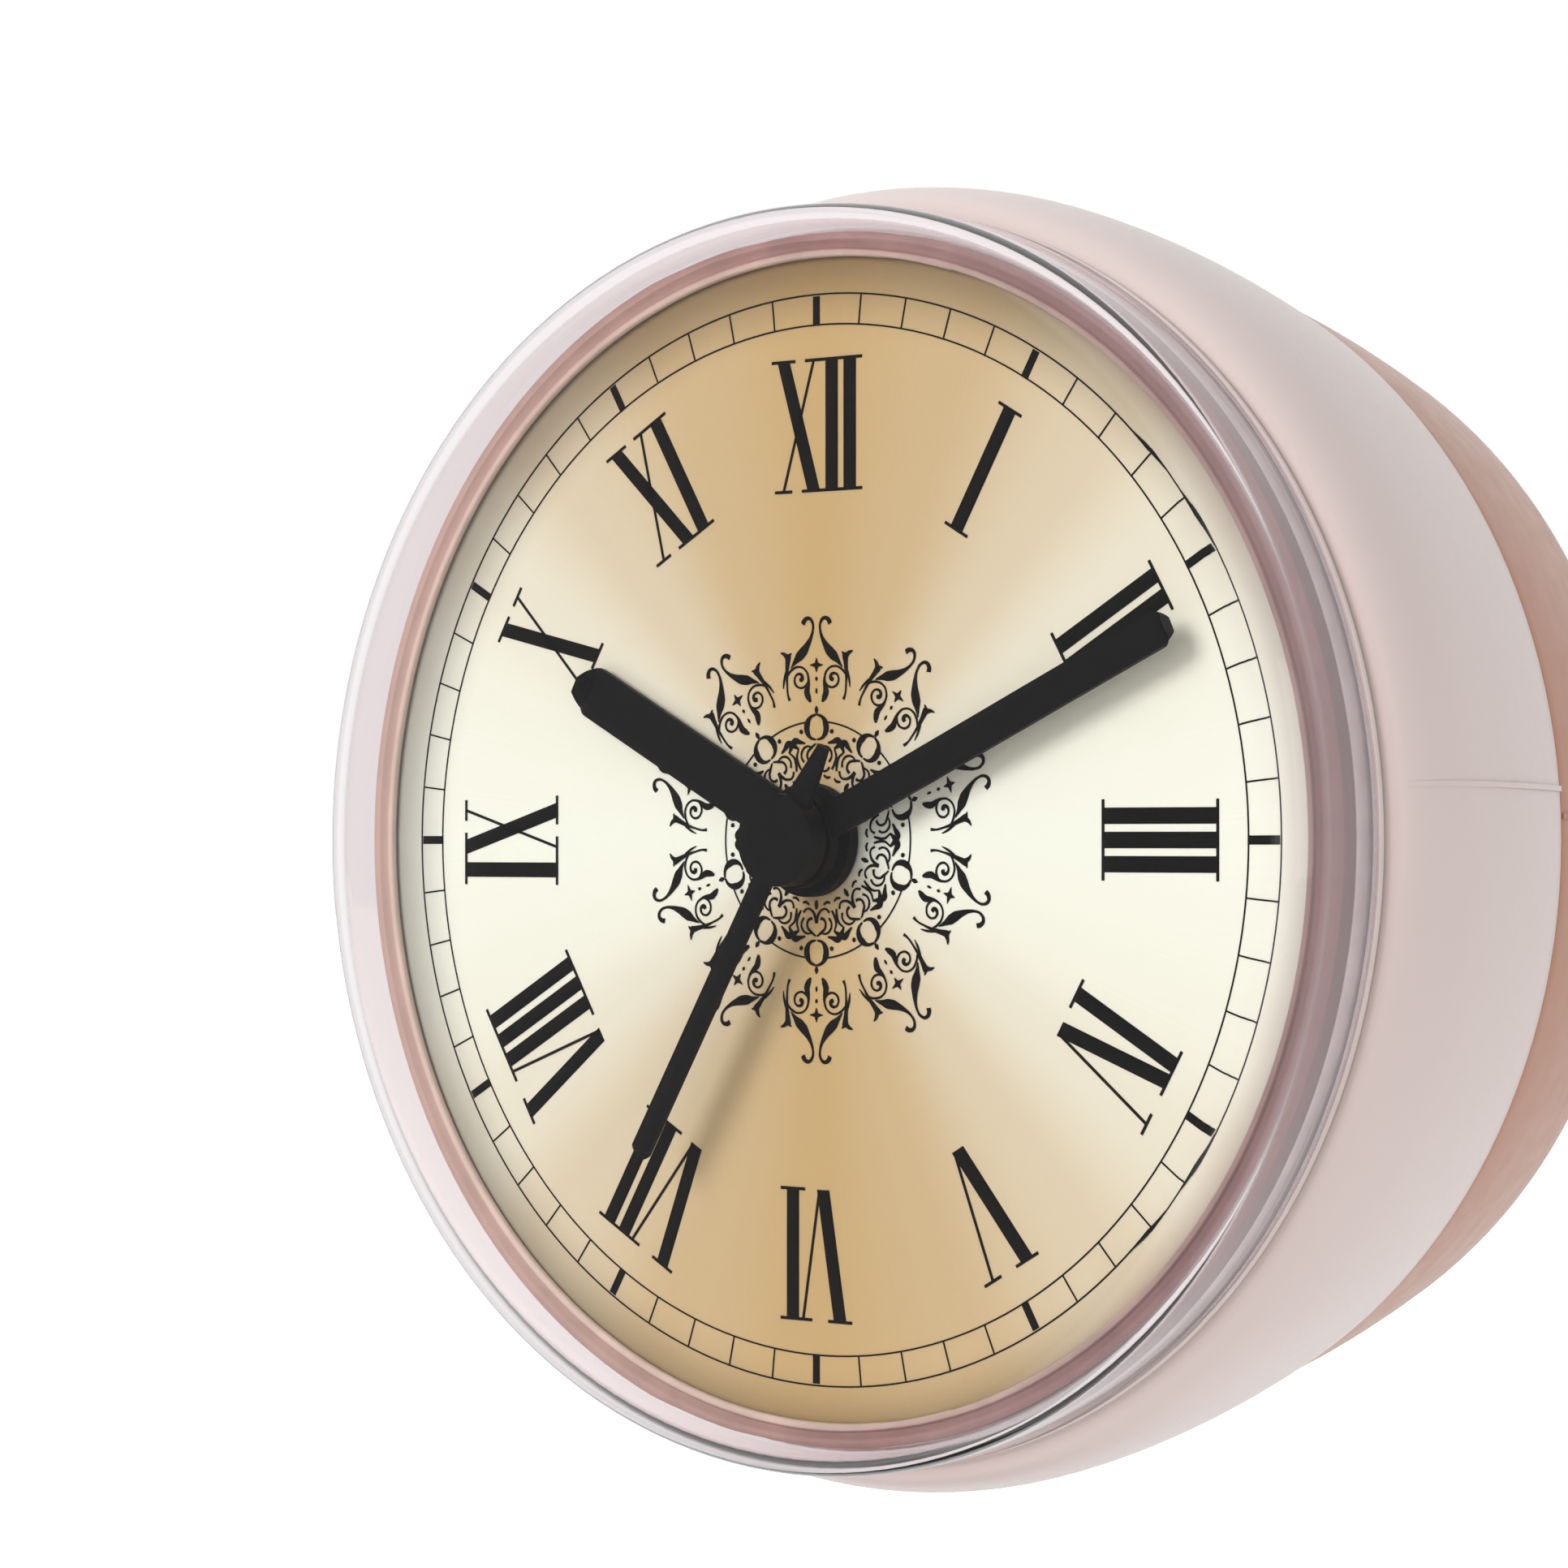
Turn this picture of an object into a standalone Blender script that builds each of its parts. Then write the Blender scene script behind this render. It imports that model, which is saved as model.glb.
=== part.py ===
"""Round suction-cup bathroom clock with its quartz movement.

The clock hangs on a wall in the plane y = 0 and faces -Y. Every piece is modelled in the dial's
own frame: X to the right, Y up, Z towards the reader, with Z = 0 at the bezel's front edge. The
empty dial_frame places that frame in the world.
"""

import math

import bmesh
import bpy

MM = 0.001
FLAT = 0.0001 * MM
FULL_TURN = 2 * math.pi

# Clearances
SEAT_GAP = 0.3 * MM
SEAL_GAP = 0.2 * MM
RUNNING_FIT = 0.05 * MM
PRESS_GAP = 0.04 * MM
SLOT_FIT = 0.1 * MM

# Case, radii from the dial opening outwards
DIAL_OPENING_RADIUS = 31.4 * MM
BEZEL_WIDTH = 1.6 * MM
BEZEL_WALL = 0.5 * MM
BEZEL_LIP = 0.25 * MM
BEZEL_FACE = [(0.0, 0.0), (0.09, 1.0), (0.32, 1.4), (0.5, 0.4), (0.77, 0.4), (1.0, 1.0)]
LENS_SKIRT = 0.8 * MM
SHOULDER_STEP = 0.2 * MM
BARREL_BULGE = 1.7 * MM
BARREL_TAPER = 1.9 * MM
BARREL_WALL = 1.5 * MM
SOCKET_WALL = 1.9 * MM
REAR_STEP = 0.3 * MM
REAR_TAPER = 2.3 * MM
REAR_WALL = 1.6 * MM
BACK_CORNER = 4.6 * MM

# Case, depths from the bezel's front edge towards the wall
LENS_DOME = 1.8 * MM
LENS_FRONT = 4.6 * MM
LENS_THICKNESS = 1.2 * MM
LENS_CORNER = 2.2 * MM
LENS_FOOT_DEPTH = 1.9 * MM
GASKET_THICKNESS = 0.4 * MM
FLANGE_THICKNESS = 1.6 * MM
BARREL_LENGTH = 17.6 * MM
BULGE_SHARE = 0.28
NECK_LENGTH = 5.4 * MM
REAR_LENGTH = 15.7 * MM
O_RING_SECTION = 1.2 * MM
O_RING_SQUEEZE = 0.35 * MM

# Suction cup
CUP_RADIUS = 22.5 * MM
CUP_HEIGHT = 7.5 * MM
CUP_EDGE = 0.5 * MM
CUP_HUB_SHARE = 0.3
CUP_HUB_RADIUS = 7.0 * MM
CUP_RIM_WIDTH = 2.0 * MM
CUP_HOLLOW_DEPTH = 4.9 * MM
CUP_STUD_RADIUS = 2.8 * MM
CUP_HEAD_RADIUS = 4.4 * MM
CUP_HEAD_HEIGHT = 2.6 * MM

# Dial and hands
DIAL_THICKNESS = 0.5 * MM
DIAL_RECESS = 0.15 * MM
HAND_THICKNESS = 0.35 * MM
HOUR_HAND_LENGTH = 18.5 * MM
HOUR_HAND_WIDTH = 2.9 * MM
HOUR_HUB_RADIUS = 3.07 * MM
HOUR_HUB_HEIGHT = 0.75 * MM
HOUR_ANGLE = math.radians(298.1)
MINUTE_HAND_LENGTH = 26.3 * MM
MINUTE_HAND_WIDTH = 1.95 * MM
MINUTE_HUB_RADIUS = 2.6 * MM
MINUTE_HUB_HEIGHT = 0.8 * MM
MINUTE_ANGLE = math.radians(65.6)
SECOND_HAND_LENGTH = 20.2 * MM
SECOND_HAND_WIDTH = 1.25 * MM
SECOND_TAIL_LENGTH = 5.75 * MM
SECOND_TAIL_WIDTH = 2.4 * MM
SECOND_HUB_RADIUS = 2.5 * MM
SECOND_HUB_HEIGHT = 1.35 * MM
SECOND_ANGLE = math.radians(210.3)
HAND_CLEARANCE = 0.25 * MM

# Movement case
MOVEMENT_WALL = 0.8 * MM
MOVEMENT_FLANGE = 1.2 * MM
FLANGE_HEIGHT = 0.9 * MM
PLATE_THICKNESS = 0.9 * MM
BRIDGE_THICKNESS = 0.7 * MM
REAR_ROOM = 1.1 * MM
HOLDER_THICKNESS = 1.45 * MM
HOLDER_RIB_DEPTH = 2.0 * MM
HOLDER_RIB_WIDTH = 1.2 * MM
HOLDER_RIBS = 6
PIVOT_DEPTH = 0.55 * MM

# Screws
SCREW_COUNT = 3
HOLDER_SCREW_RADIUS = 0.8 * MM
HOLDER_SCREW_HEAD_RADIUS = 1.5 * MM
HOLDER_SCREW_HEAD_HEIGHT = 0.9 * MM
HOLDER_SCREW_ANGLE = math.radians(90)
SCREW_LAND = 0.85 * MM
MOVEMENT_SCREW_RADIUS = 0.5 * MM
MOVEMENT_SCREW_HEAD_RADIUS = 1.0 * MM
MOVEMENT_SCREW_HEAD_HEIGHT = 0.6 * MM
MOVEMENT_SCREW_ANGLE = math.radians(-10)
PILLAR_RADIUS = 1.2 * MM

# Gear train
WHEEL_THICKNESS = 0.7 * MM
LEVEL_GAP = 0.3 * MM
ROTOR_LEAVES = 6
INTERMEDIATE_TEETH = 36
INTERMEDIATE_LEAVES = 6
SECOND_TEETH = 30
SECOND_LEAVES = 6
THIRD_TEETH = 45
THIRD_LEAVES = 6
CENTRE_TEETH = 48
CANNON_LEAVES = 8
MINUTE_TEETH = 24
MINUTE_LEAVES = 8
HOUR_TEETH = 32
SETTING_TEETH = 12
ROTOR_MODULE = 0.25 * MM
TRAIN_MODULE = 0.30 * MM
MOTION_MODULE = 0.35 * MM
TOOTH_ADDENDUM = 0.85
TOOTH_DEDENDUM = 1.15
LEAF_ADDENDUM = 0.7
TOOTH_SHARE = 0.40
TOOTH_TIP = 0.5
LEAF_TIP = 0.7

# Directions of the arbors, anticlockwise from the dial's X axis
INTERMEDIATE_DIRECTION = math.radians(215)
ROTOR_DIRECTION = math.radians(250)
THIRD_DIRECTION = math.radians(60)
MINUTE_WHEEL_DIRECTION = math.radians(180)
SETTING_DIRECTION = math.radians(135)

# Arbors and tubes
SECOND_ARBOR_RADIUS = 0.30 * MM
MINUTE_TUBE_WALL = 0.45 * MM
HOUR_PIPE_WALL = 0.60 * MM
PIVOT_RADIUS = 0.25 * MM
ARBOR_RADIUS = 0.40 * MM
POST_RADIUS = 0.50 * MM
SETTING_SHAFT_RADIUS = 0.60 * MM
KNOB_RADIUS = 3.2 * MM
KNOB_HEIGHT = 2.6 * MM
KNOB_FLUTES = 16
CLUTCH_RADIUS = 2.6 * MM
CLUTCH_THICKNESS = 0.2 * MM
CLUTCH_RECESS = 0.35 * MM
CLUTCH_ARMS = 3

# Motor and electronics
MAGNET_RADIUS = 2.2 * MM
MAGNET_GAP = 0.3 * MM
STATOR_THICKNESS = 0.5 * MM
STATOR_WEB = 0.5 * MM
STATOR_LEG = 2.0 * MM
COIL_RADIUS = 1.4 * MM
COIL_LENGTH = 11.0 * MM
COIL_GAP = 0.6 * MM
COIL_MARGIN = 1.8 * MM
CORE_WIDTH = 0.9 * MM
BOBBIN_FLANGE = 0.6 * MM
BOBBIN_TUBE_WALL = 0.25 * MM
BOARD_WIDTH = 6.8 * MM
BOARD_HEIGHT = 9.8 * MM
BOARD_THICKNESS = 0.6 * MM
BOARD_MARGIN = 0.75 * MM
BOARD_CORNER_DIRECTION = math.radians(-34.7)
CRYSTAL_RADIUS = 0.9 * MM
CRYSTAL_LENGTH = 6.0 * MM
CHIP_RADIUS = 1.5 * MM
CHIP_HEIGHT = 0.9 * MM

# Button cell and its contacts
CELL_RADIUS = 5.8 * MM
CELL_HEIGHT = 5.4 * MM
CELL_SHOULDER = 0.8 * MM
CELL_DIRECTION = math.radians(-45)
CELL_MARGIN = 0.9 * MM
WELL_WALL = 0.8 * MM
WELL_REACH = 3.0 * MM
STRIP_THICKNESS = 0.25 * MM
STRIP_WIDTH = 3.0 * MM
TAB_WIDTH = 1.4 * MM

# Facets of round pieces
SHELL_SEGMENTS = 32
PLATE_SEGMENTS = 24
SMALL_SEGMENTS = 12
PIVOT_SEGMENTS = 8
PIVOT_LIMIT = 0.8 * MM
SMALL_LIMIT = 2.0 * MM
SHARP_ANGLE = math.radians(35)

# Radii worked out from the dial opening outwards
BEZEL_OUTER = DIAL_OPENING_RADIUS + BEZEL_WIDTH
BEZEL_INNER = BEZEL_OUTER - BEZEL_WALL
DIAL_RADIUS = BEZEL_INNER - SEAT_GAP
LENS_INNER = BEZEL_OUTER + SEAT_GAP
LENS_OUTER = LENS_INNER + LENS_SKIRT
BARREL_MOUTH = LENS_OUTER + SHOULDER_STEP
BARREL_RADIUS = BARREL_MOUTH + BARREL_BULGE
BARREL_REAR = BARREL_RADIUS - BARREL_TAPER
SOCKET_RADIUS = BARREL_REAR - SOCKET_WALL
NECK_RADIUS = SOCKET_RADIUS - SEAT_GAP
REAR_RADIUS = BARREL_REAR - REAR_STEP
REAR_BACK_RADIUS = REAR_RADIUS - REAR_TAPER
SCREW_CIRCLE = DIAL_RADIUS - HOLDER_SCREW_HEAD_RADIUS - SCREW_LAND
FLANGE_OPENING = SCREW_CIRCLE - HOLDER_SCREW_HEAD_RADIUS - SCREW_LAND

# Heights in the dial's frame, from the reader's side to the wall
LENS_FOOT = -LENS_FOOT_DEPTH
GASKET_TOP = LENS_FOOT - SEAL_GAP
SHOULDER = GASKET_TOP - GASKET_THICKNESS - SEAL_GAP
FLANGE_BACK = SHOULDER - FLANGE_THICKNESS
BARREL_END = SHOULDER - BARREL_LENGTH
REAR_FRONT = BARREL_END - SEAT_GAP
REAR_BACK = REAR_FRONT - REAR_LENGTH
REAR_FLOOR = REAR_BACK + REAR_WALL
WALL = REAR_BACK - SEAL_GAP - CUP_HEIGHT
NECK_FRONT = REAR_FRONT + NECK_LENGTH
NECK_BACK = REAR_FRONT - REAR_WALL
DIAL_FRONT = -DIAL_RECESS
DIAL_BACK = DIAL_FRONT - DIAL_THICKNESS
HOLDER_FRONT = DIAL_BACK - SEAT_GAP
HOLDER_BACK = HOLDER_FRONT - HOLDER_THICKNESS
MOVEMENT_FRONT = HOLDER_FRONT
PLATE_BACK = MOVEMENT_FRONT - PLATE_THICKNESS
HOUR_HUB_TOP = DIAL_FRONT + HAND_CLEARANCE + HOUR_HUB_HEIGHT
MINUTE_HUB_TOP = HOUR_HUB_TOP + HAND_CLEARANCE + MINUTE_HUB_HEIGHT
SECOND_HUB_TOP = MINUTE_HUB_TOP + HAND_CLEARANCE + SECOND_HUB_HEIGHT

# Radii of the three tubes on the centre line
MINUTE_BORE = SECOND_ARBOR_RADIUS + RUNNING_FIT
MINUTE_TUBE = MINUTE_BORE + MINUTE_TUBE_WALL
HOUR_BORE = MINUTE_TUBE + RUNNING_FIT
HOUR_PIPE = HOUR_BORE + HOUR_PIPE_WALL
HOUR_HOLE = HOUR_PIPE + RUNNING_FIT
DIAL_HOLE = HOUR_HOLE + SEAT_GAP

# Distances between arbors, from modules and teeth
ROTOR_CENTRES = (ROTOR_LEAVES + INTERMEDIATE_TEETH) * ROTOR_MODULE / 2
INTERMEDIATE_CENTRES = (INTERMEDIATE_LEAVES + SECOND_TEETH) * TRAIN_MODULE / 2
THIRD_CENTRES = (SECOND_LEAVES + THIRD_TEETH) * TRAIN_MODULE / 2
CENTRE_MODULE = 2 * THIRD_CENTRES / (THIRD_LEAVES + CENTRE_TEETH)
MINUTE_CENTRES = (CANNON_LEAVES + MINUTE_TEETH) * MOTION_MODULE / 2
HOUR_MODULE = 2 * MINUTE_CENTRES / (MINUTE_LEAVES + HOUR_TEETH)
SETTING_CENTRES = (MINUTE_TEETH + SETTING_TEETH) * MOTION_MODULE / 2


def level_top(level):
    """Front face of a wheel level: 0 to 3 lie before the train bridge, 4 and 5 behind it."""
    top = PLATE_BACK - LEVEL_GAP - level * (WHEEL_THICKNESS + LEVEL_GAP)
    if level > 3:
        top -= BRIDGE_THICKNESS + LEVEL_GAP
    return top


def level_span(level):
    top = level_top(level)
    return top - WHEEL_THICKNESS, top


BRIDGE_FRONT = level_span(3)[0] - LEVEL_GAP
BRIDGE_BACK = BRIDGE_FRONT - BRIDGE_THICKNESS
REAR_PLATE_FRONT = level_span(5)[0] - REAR_ROOM
REAR_PLATE_BACK = REAR_PLATE_FRONT - PLATE_THICKNESS
CELL_FRONT = REAR_PLATE_BACK - 2 * STRIP_THICKNESS
CELL_BACK = CELL_FRONT - CELL_HEIGHT
WELL_RADIUS = CELL_RADIUS + SEAT_GAP
STRAP_FRONT = CELL_BACK - SEAL_GAP
STATOR_TOP = BRIDGE_BACK - SEAT_GAP
STATOR_BACK = STATOR_TOP - STATOR_THICKNESS
COIL_HEIGHT = STATOR_BACK - SEAT_GAP - CORE_WIDTH / 2
BOARD_TOP = BRIDGE_BACK - SEAT_GAP
BOARD_BACK = BOARD_TOP - BOARD_THICKNESS


def polar(radius, angle, centre=(0.0, 0.0)):
    return (centre[0] + radius * math.cos(angle), centre[1] + radius * math.sin(angle))


CENTRE = (0.0, 0.0)
INTERMEDIATE_AXIS = polar(INTERMEDIATE_CENTRES, INTERMEDIATE_DIRECTION)
ROTOR_AXIS = polar(ROTOR_CENTRES, ROTOR_DIRECTION, INTERMEDIATE_AXIS)
THIRD_AXIS = polar(THIRD_CENTRES, THIRD_DIRECTION)
MINUTE_WHEEL_AXIS = polar(MINUTE_CENTRES, MINUTE_WHEEL_DIRECTION)
SETTING_AXIS = polar(SETTING_CENTRES, SETTING_DIRECTION, MINUTE_WHEEL_AXIS)

# Movement case round the motor, then what lies against its wall
STATOR_HOLE = MAGNET_RADIUS + MAGNET_GAP
STATOR_RADIUS = STATOR_HOLE + STATOR_WEB
COIL_DISTANCE = STATOR_RADIUS - ROTOR_AXIS[1] + COIL_GAP + COIL_RADIUS
MOVEMENT_INNER = COIL_DISTANCE + COIL_RADIUS + COIL_MARGIN
MOVEMENT_RADIUS = MOVEMENT_INNER + MOVEMENT_WALL
CELL_DISTANCE = MOVEMENT_RADIUS - CELL_MARGIN - WELL_WALL - WELL_RADIUS
CELL_AXIS = polar(CELL_DISTANCE, CELL_DIRECTION)
BOARD_CORNER = polar(MOVEMENT_INNER - BOARD_MARGIN, BOARD_CORNER_DIRECTION)


def linear_colour(code):
    """An sRGB hex colour as linear RGBA."""
    channels = [int(code[i : i + 2], 16) / 255 for i in (0, 2, 4)]
    return [c / 12.92 if c <= 0.04045 else ((c + 0.055) / 1.055) ** 2.4 for c in channels] + [1.0]


def material(name, code, roughness, metallic=0.0):
    made = bpy.data.materials.new(name)
    made.use_nodes = True
    surface = made.node_tree.nodes["Principled BSDF"]
    surface.inputs["Base Color"].default_value = linear_colour(code)
    surface.inputs["Roughness"].default_value = roughness
    surface.inputs["Metallic"].default_value = metallic
    made.diffuse_color = linear_colour(code)
    return made


def clear_scene():
    for item in list(bpy.data.objects):
        bpy.data.objects.remove(item, do_unlink=True)


def make_dial_frame():
    frame = bpy.data.objects.new("dial_frame", None)
    frame.location = (0, WALL, 0)
    frame.rotation_euler = (math.radians(90), 0, 0)
    bpy.context.scene.collection.objects.link(frame)
    return frame


clear_scene()
DIAL_FRAME = make_dial_frame()

CLEAR = material("clear_polycarbonate", "E8E4E2", 0.05)
BARREL_PLASTIC = material("pale_translucent_plastic", "D5C7BF", 0.35)
ROSE_PLASTIC = material("rose_plastic", "B5917F", 0.4)
DIAL_GOLD = material("champagne_dial", "E2C79A", 0.3, 0.3)
HAND_BLACK = material("hand_black", "2B2B2D", 0.5)
SOFT_PVC = material("soft_pvc", "CBB5AA", 0.3)
SEAL_RUBBER = material("seal_silicone", "9A786D", 0.6)
WHITE_ABS = material("white_abs", "E6E6E1", 0.5)
BLACK_ABS = material("black_abs", "232326", 0.5)
GEAR_POM = material("gear_acetal", "F0EEE6", 0.4)
STEEL = material("steel", "B9BCC0", 0.3, 1.0)
BRASS = material("brass", "C9A24A", 0.3, 1.0)
COPPER = material("enamelled_copper", "A8572E", 0.35, 1.0)
FERRITE = material("magnet_ferrite", "3A3A3E", 0.6)
BOARD_GREEN = material("board_laminate", "2F6B45", 0.5)


def add_piece(name, mesh, finish, where=CENTRE):
    """An object in the dial's frame, its origin on the axis through where."""
    mesh.materials.append(finish)
    mesh.shade_smooth()
    mesh.set_sharp_from_angle(angle=SHARP_ANGLE)
    piece = bpy.data.objects.new(name, mesh)
    bpy.context.scene.collection.objects.link(piece)
    piece.parent = DIAL_FRAME
    piece.location = (where[0], where[1], 0)
    return piece


def centres_flat_disc(vert):
    """True for a point on the axis whose fan of faces is flat."""
    rim = [edge.other_vert(vert) for edge in vert.link_edges]
    on_axis = math.hypot(vert.co.x, vert.co.y) < FLAT
    return on_axis and all(abs(other.co.z - vert.co.z) < FLAT for other in rim)


def turned(name, profile, finish, where=CENTRE, segments=SHELL_SEGMENTS):
    """Turns a profile of (radius, height) points once round the piece's own Z axis."""
    form = bmesh.new()
    points = [form.verts.new((radius, 0, height)) for radius, height in profile]
    edges = [form.edges.new(pair) for pair in zip(points, points[1:])]
    if profile[0][0] > 0 or profile[-1][0] > 0:
        edges.append(form.edges.new((points[-1], points[0])))
    bmesh.ops.spin(
        form,
        geom=points + edges,
        cent=(0, 0, 0),
        axis=(0, 0, 1),
        angle=FULL_TURN,
        steps=segments,
        use_merge=True,
    )
    bmesh.ops.remove_doubles(form, verts=form.verts, dist=FLAT)
    bmesh.ops.dissolve_verts(form, verts=[vert for vert in form.verts if centres_flat_disc(vert)])
    bmesh.ops.recalc_face_normals(form, faces=form.faces)
    mesh = bpy.data.meshes.new(name)
    form.to_mesh(mesh)
    form.free()
    return add_piece(name, mesh, finish, where)


def plate(name, outline, low, high, finish, where=CENTRE):
    """Extrudes a closed outline of (x, y) points from one height to the other."""
    form = bmesh.new()
    face = form.faces.new([form.verts.new((x, y, low)) for x, y in outline])
    raised = bmesh.ops.extrude_face_region(form, geom=[face])["geom"]
    top = [item for item in raised if isinstance(item, bmesh.types.BMVert)]
    bmesh.ops.translate(form, verts=top, vec=(0, 0, high - low))
    bmesh.ops.recalc_face_normals(form, faces=form.faces)
    mesh = bpy.data.meshes.new(name)
    form.to_mesh(mesh)
    form.free()
    return add_piece(name, mesh, finish, where)


def circle(radius, segments, centre=CENTRE):
    return [polar(radius, FULL_TURN * i / segments, centre) for i in range(segments)]


def rectangle(low, high):
    return [low, (high[0], low[1]), high, (low[0], high[1])]


def turned_outline(outline, angle, centre=CENTRE):
    """Turns an outline about its origin, then moves it to centre."""
    spun = []
    for x, y in outline:
        spun.append(
            (
                centre[0] + x * math.cos(angle) - y * math.sin(angle),
                centre[1] + x * math.sin(angle) + y * math.cos(angle),
            )
        )
    return spun


def arc(centre, radius, start, end, steps):
    """Points of a round corner in (radius, height), both ends included."""
    return [polar(radius, start + (end - start) * i / steps, centre) for i in range(steps + 1)]


def combine(piece, helper, operation):
    """Joins the helper to the piece, or cuts it from the piece, and hides the helper."""
    helper.hide_render = True
    helper.display_type = "WIRE"
    step = piece.modifiers.new(helper.name, "BOOLEAN")
    step.operation = operation
    step.solver = "EXACT"
    step.object = helper
    return piece


def fuse(piece, helper):
    return combine(piece, helper, "UNION")


def cut(piece, helper):
    return combine(piece, helper, "DIFFERENCE")


def facets(radius):
    """How many sides a small round feature gets."""
    if radius < PIVOT_LIMIT:
        return PIVOT_SEGMENTS
    return SMALL_SEGMENTS if radius < SMALL_LIMIT else PLATE_SEGMENTS


def rod(name, radius, low, high, finish, where=CENTRE):
    return plate(name, circle(radius, facets(radius)), low, high, finish, where)


def drill(piece, radius, low, high, where=CENTRE):
    """Cuts a round hole whose faceted wall stays outside the stated radius."""
    sides = facets(radius)
    outline = circle(radius / math.cos(math.pi / sides), sides)
    name = f"{piece.name}_hole_{len(piece.modifiers)}"
    return cut(piece, plate(name, outline, low, high, piece.data.materials[0], where))


def tooth_phase(driver_teeth, driver_phase, driven_teeth, direction):
    """Angle of the driven gear's first tooth that puts a gap before the driver's tooth."""
    offset = (direction - driver_phase) * driver_teeth / FULL_TURN
    return direction + math.pi - (0.5 - offset) * FULL_TURN / driven_teeth


def wheel_outline(teeth, module, phase):
    """Clock wheel: tapered teeth that narrow to a flat tip."""
    pitch = teeth * module / 2
    root = pitch - TOOTH_DEDENDUM * module
    tip = pitch + TOOTH_ADDENDUM * module
    half = TOOTH_SHARE * math.pi / teeth
    points = []
    for tooth in range(teeth):
        middle = phase + FULL_TURN * tooth / teeth
        for radius, offset in (
            (root, -half * 1.15),
            (tip, -half * TOOTH_TIP),
            (tip, half * TOOTH_TIP),
            (root, half * 1.15),
        ):
            points.append(polar(radius, middle + offset))
    return points


def leaf_outline(leaves, module, phase):
    """Clock pinion: stout leaves that narrow to a short flat tip."""
    pitch = leaves * module / 2
    root = pitch - TOOTH_DEDENDUM * module
    tip = pitch + LEAF_ADDENDUM * module
    half = TOOTH_SHARE * math.pi / leaves
    points = []
    for leaf in range(leaves):
        middle = phase + FULL_TURN * leaf / leaves
        for radius, offset in (
            (root, -half),
            (tip, -half * LEAF_TIP),
            (tip, half * LEAF_TIP),
            (root, half),
        ):
            points.append(polar(radius, middle + offset))
    return points


def wheel_reach(teeth, module):
    return teeth * module / 2 + TOOTH_ADDENDUM * module


PHASES = {"second": 0.0, "cannon": 0.0, "intermediate_wheel": 0.0, "second_pinion": 0.0}
PHASES["intermediate_pinion"] = tooth_phase(
    SECOND_TEETH, PHASES["second"], INTERMEDIATE_LEAVES, INTERMEDIATE_DIRECTION
)
PHASES["rotor"] = tooth_phase(
    INTERMEDIATE_TEETH, PHASES["intermediate_wheel"], ROTOR_LEAVES, ROTOR_DIRECTION
)
PHASES["third_wheel"] = tooth_phase(
    SECOND_LEAVES, PHASES["second_pinion"], THIRD_TEETH, THIRD_DIRECTION
)
PHASES["third_pinion"] = 0.0
PHASES["centre"] = tooth_phase(
    THIRD_LEAVES, PHASES["third_pinion"], CENTRE_TEETH, THIRD_DIRECTION + math.pi
)
PHASES["minute_wheel"] = tooth_phase(
    CANNON_LEAVES, PHASES["cannon"], MINUTE_TEETH, MINUTE_WHEEL_DIRECTION
)
PHASES["minute_pinion"] = 0.0
PHASES["hour"] = tooth_phase(
    MINUTE_LEAVES, PHASES["minute_pinion"], HOUR_TEETH, MINUTE_WHEEL_DIRECTION + math.pi
)
PHASES["setting"] = tooth_phase(
    MINUTE_TEETH, PHASES["minute_wheel"], SETTING_TEETH, SETTING_DIRECTION
)


def barrel_radius(height):
    """Outer radius of the barrel: a short swell behind the lens, then a long taper."""
    share = (SHOULDER - height) / BARREL_LENGTH
    if share < BULGE_SHARE:
        rise = 1 - share / BULGE_SHARE
        return BARREL_MOUTH + BARREL_BULGE * math.sqrt(max(0.0, 1 - rise * rise))
    fall = (share - BULGE_SHARE) / (1 - BULGE_SHARE)
    return BARREL_RADIUS - BARREL_TAPER * fall**1.6


def rear_radius(height):
    """Outer radius of the rear shell's side, before its rounded back corner."""
    share = (REAR_FRONT - height) / (REAR_LENGTH - BACK_CORNER)
    return REAR_RADIUS - REAR_TAPER * share**1.5


def lens_height(radius, rim_radius, rim_height):
    """Height of the shallow dome that closes the lens."""
    return rim_height + LENS_DOME * (1 - (radius / rim_radius) ** 2)


def make_lens():
    """Clear cap: a flat-footed skirt, a round corner and a shallow dome."""
    corner_inner = LENS_CORNER - LENS_SKIRT
    rim = LENS_OUTER - LENS_CORNER
    rim_back = LENS_FRONT - LENS_THICKNESS
    steps = 3
    outer = [(rim * i / steps, lens_height(rim * i / steps, rim, LENS_FRONT)) for i in range(steps)]
    outer += arc((rim, LENS_FRONT - LENS_CORNER), LENS_CORNER, math.pi / 2, 0, 4)
    outer.append((LENS_OUTER, LENS_FOOT))
    inner = [(LENS_INNER, LENS_FOOT)]
    inner += arc((rim, rim_back - corner_inner), corner_inner, 0, math.pi / 2, 2)
    steps = 2
    for i in reversed(range(steps)):
        inner.append((rim * i / steps, lens_height(rim * i / steps, rim, rim_back)))
    return turned("lens", outer + inner, CLEAR)


def make_lens_gasket():
    profile = rectangle((LENS_INNER, GASKET_TOP - GASKET_THICKNESS), (LENS_OUTER, GASKET_TOP))
    return turned("lens_gasket", profile, SEAL_RUBBER)


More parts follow.
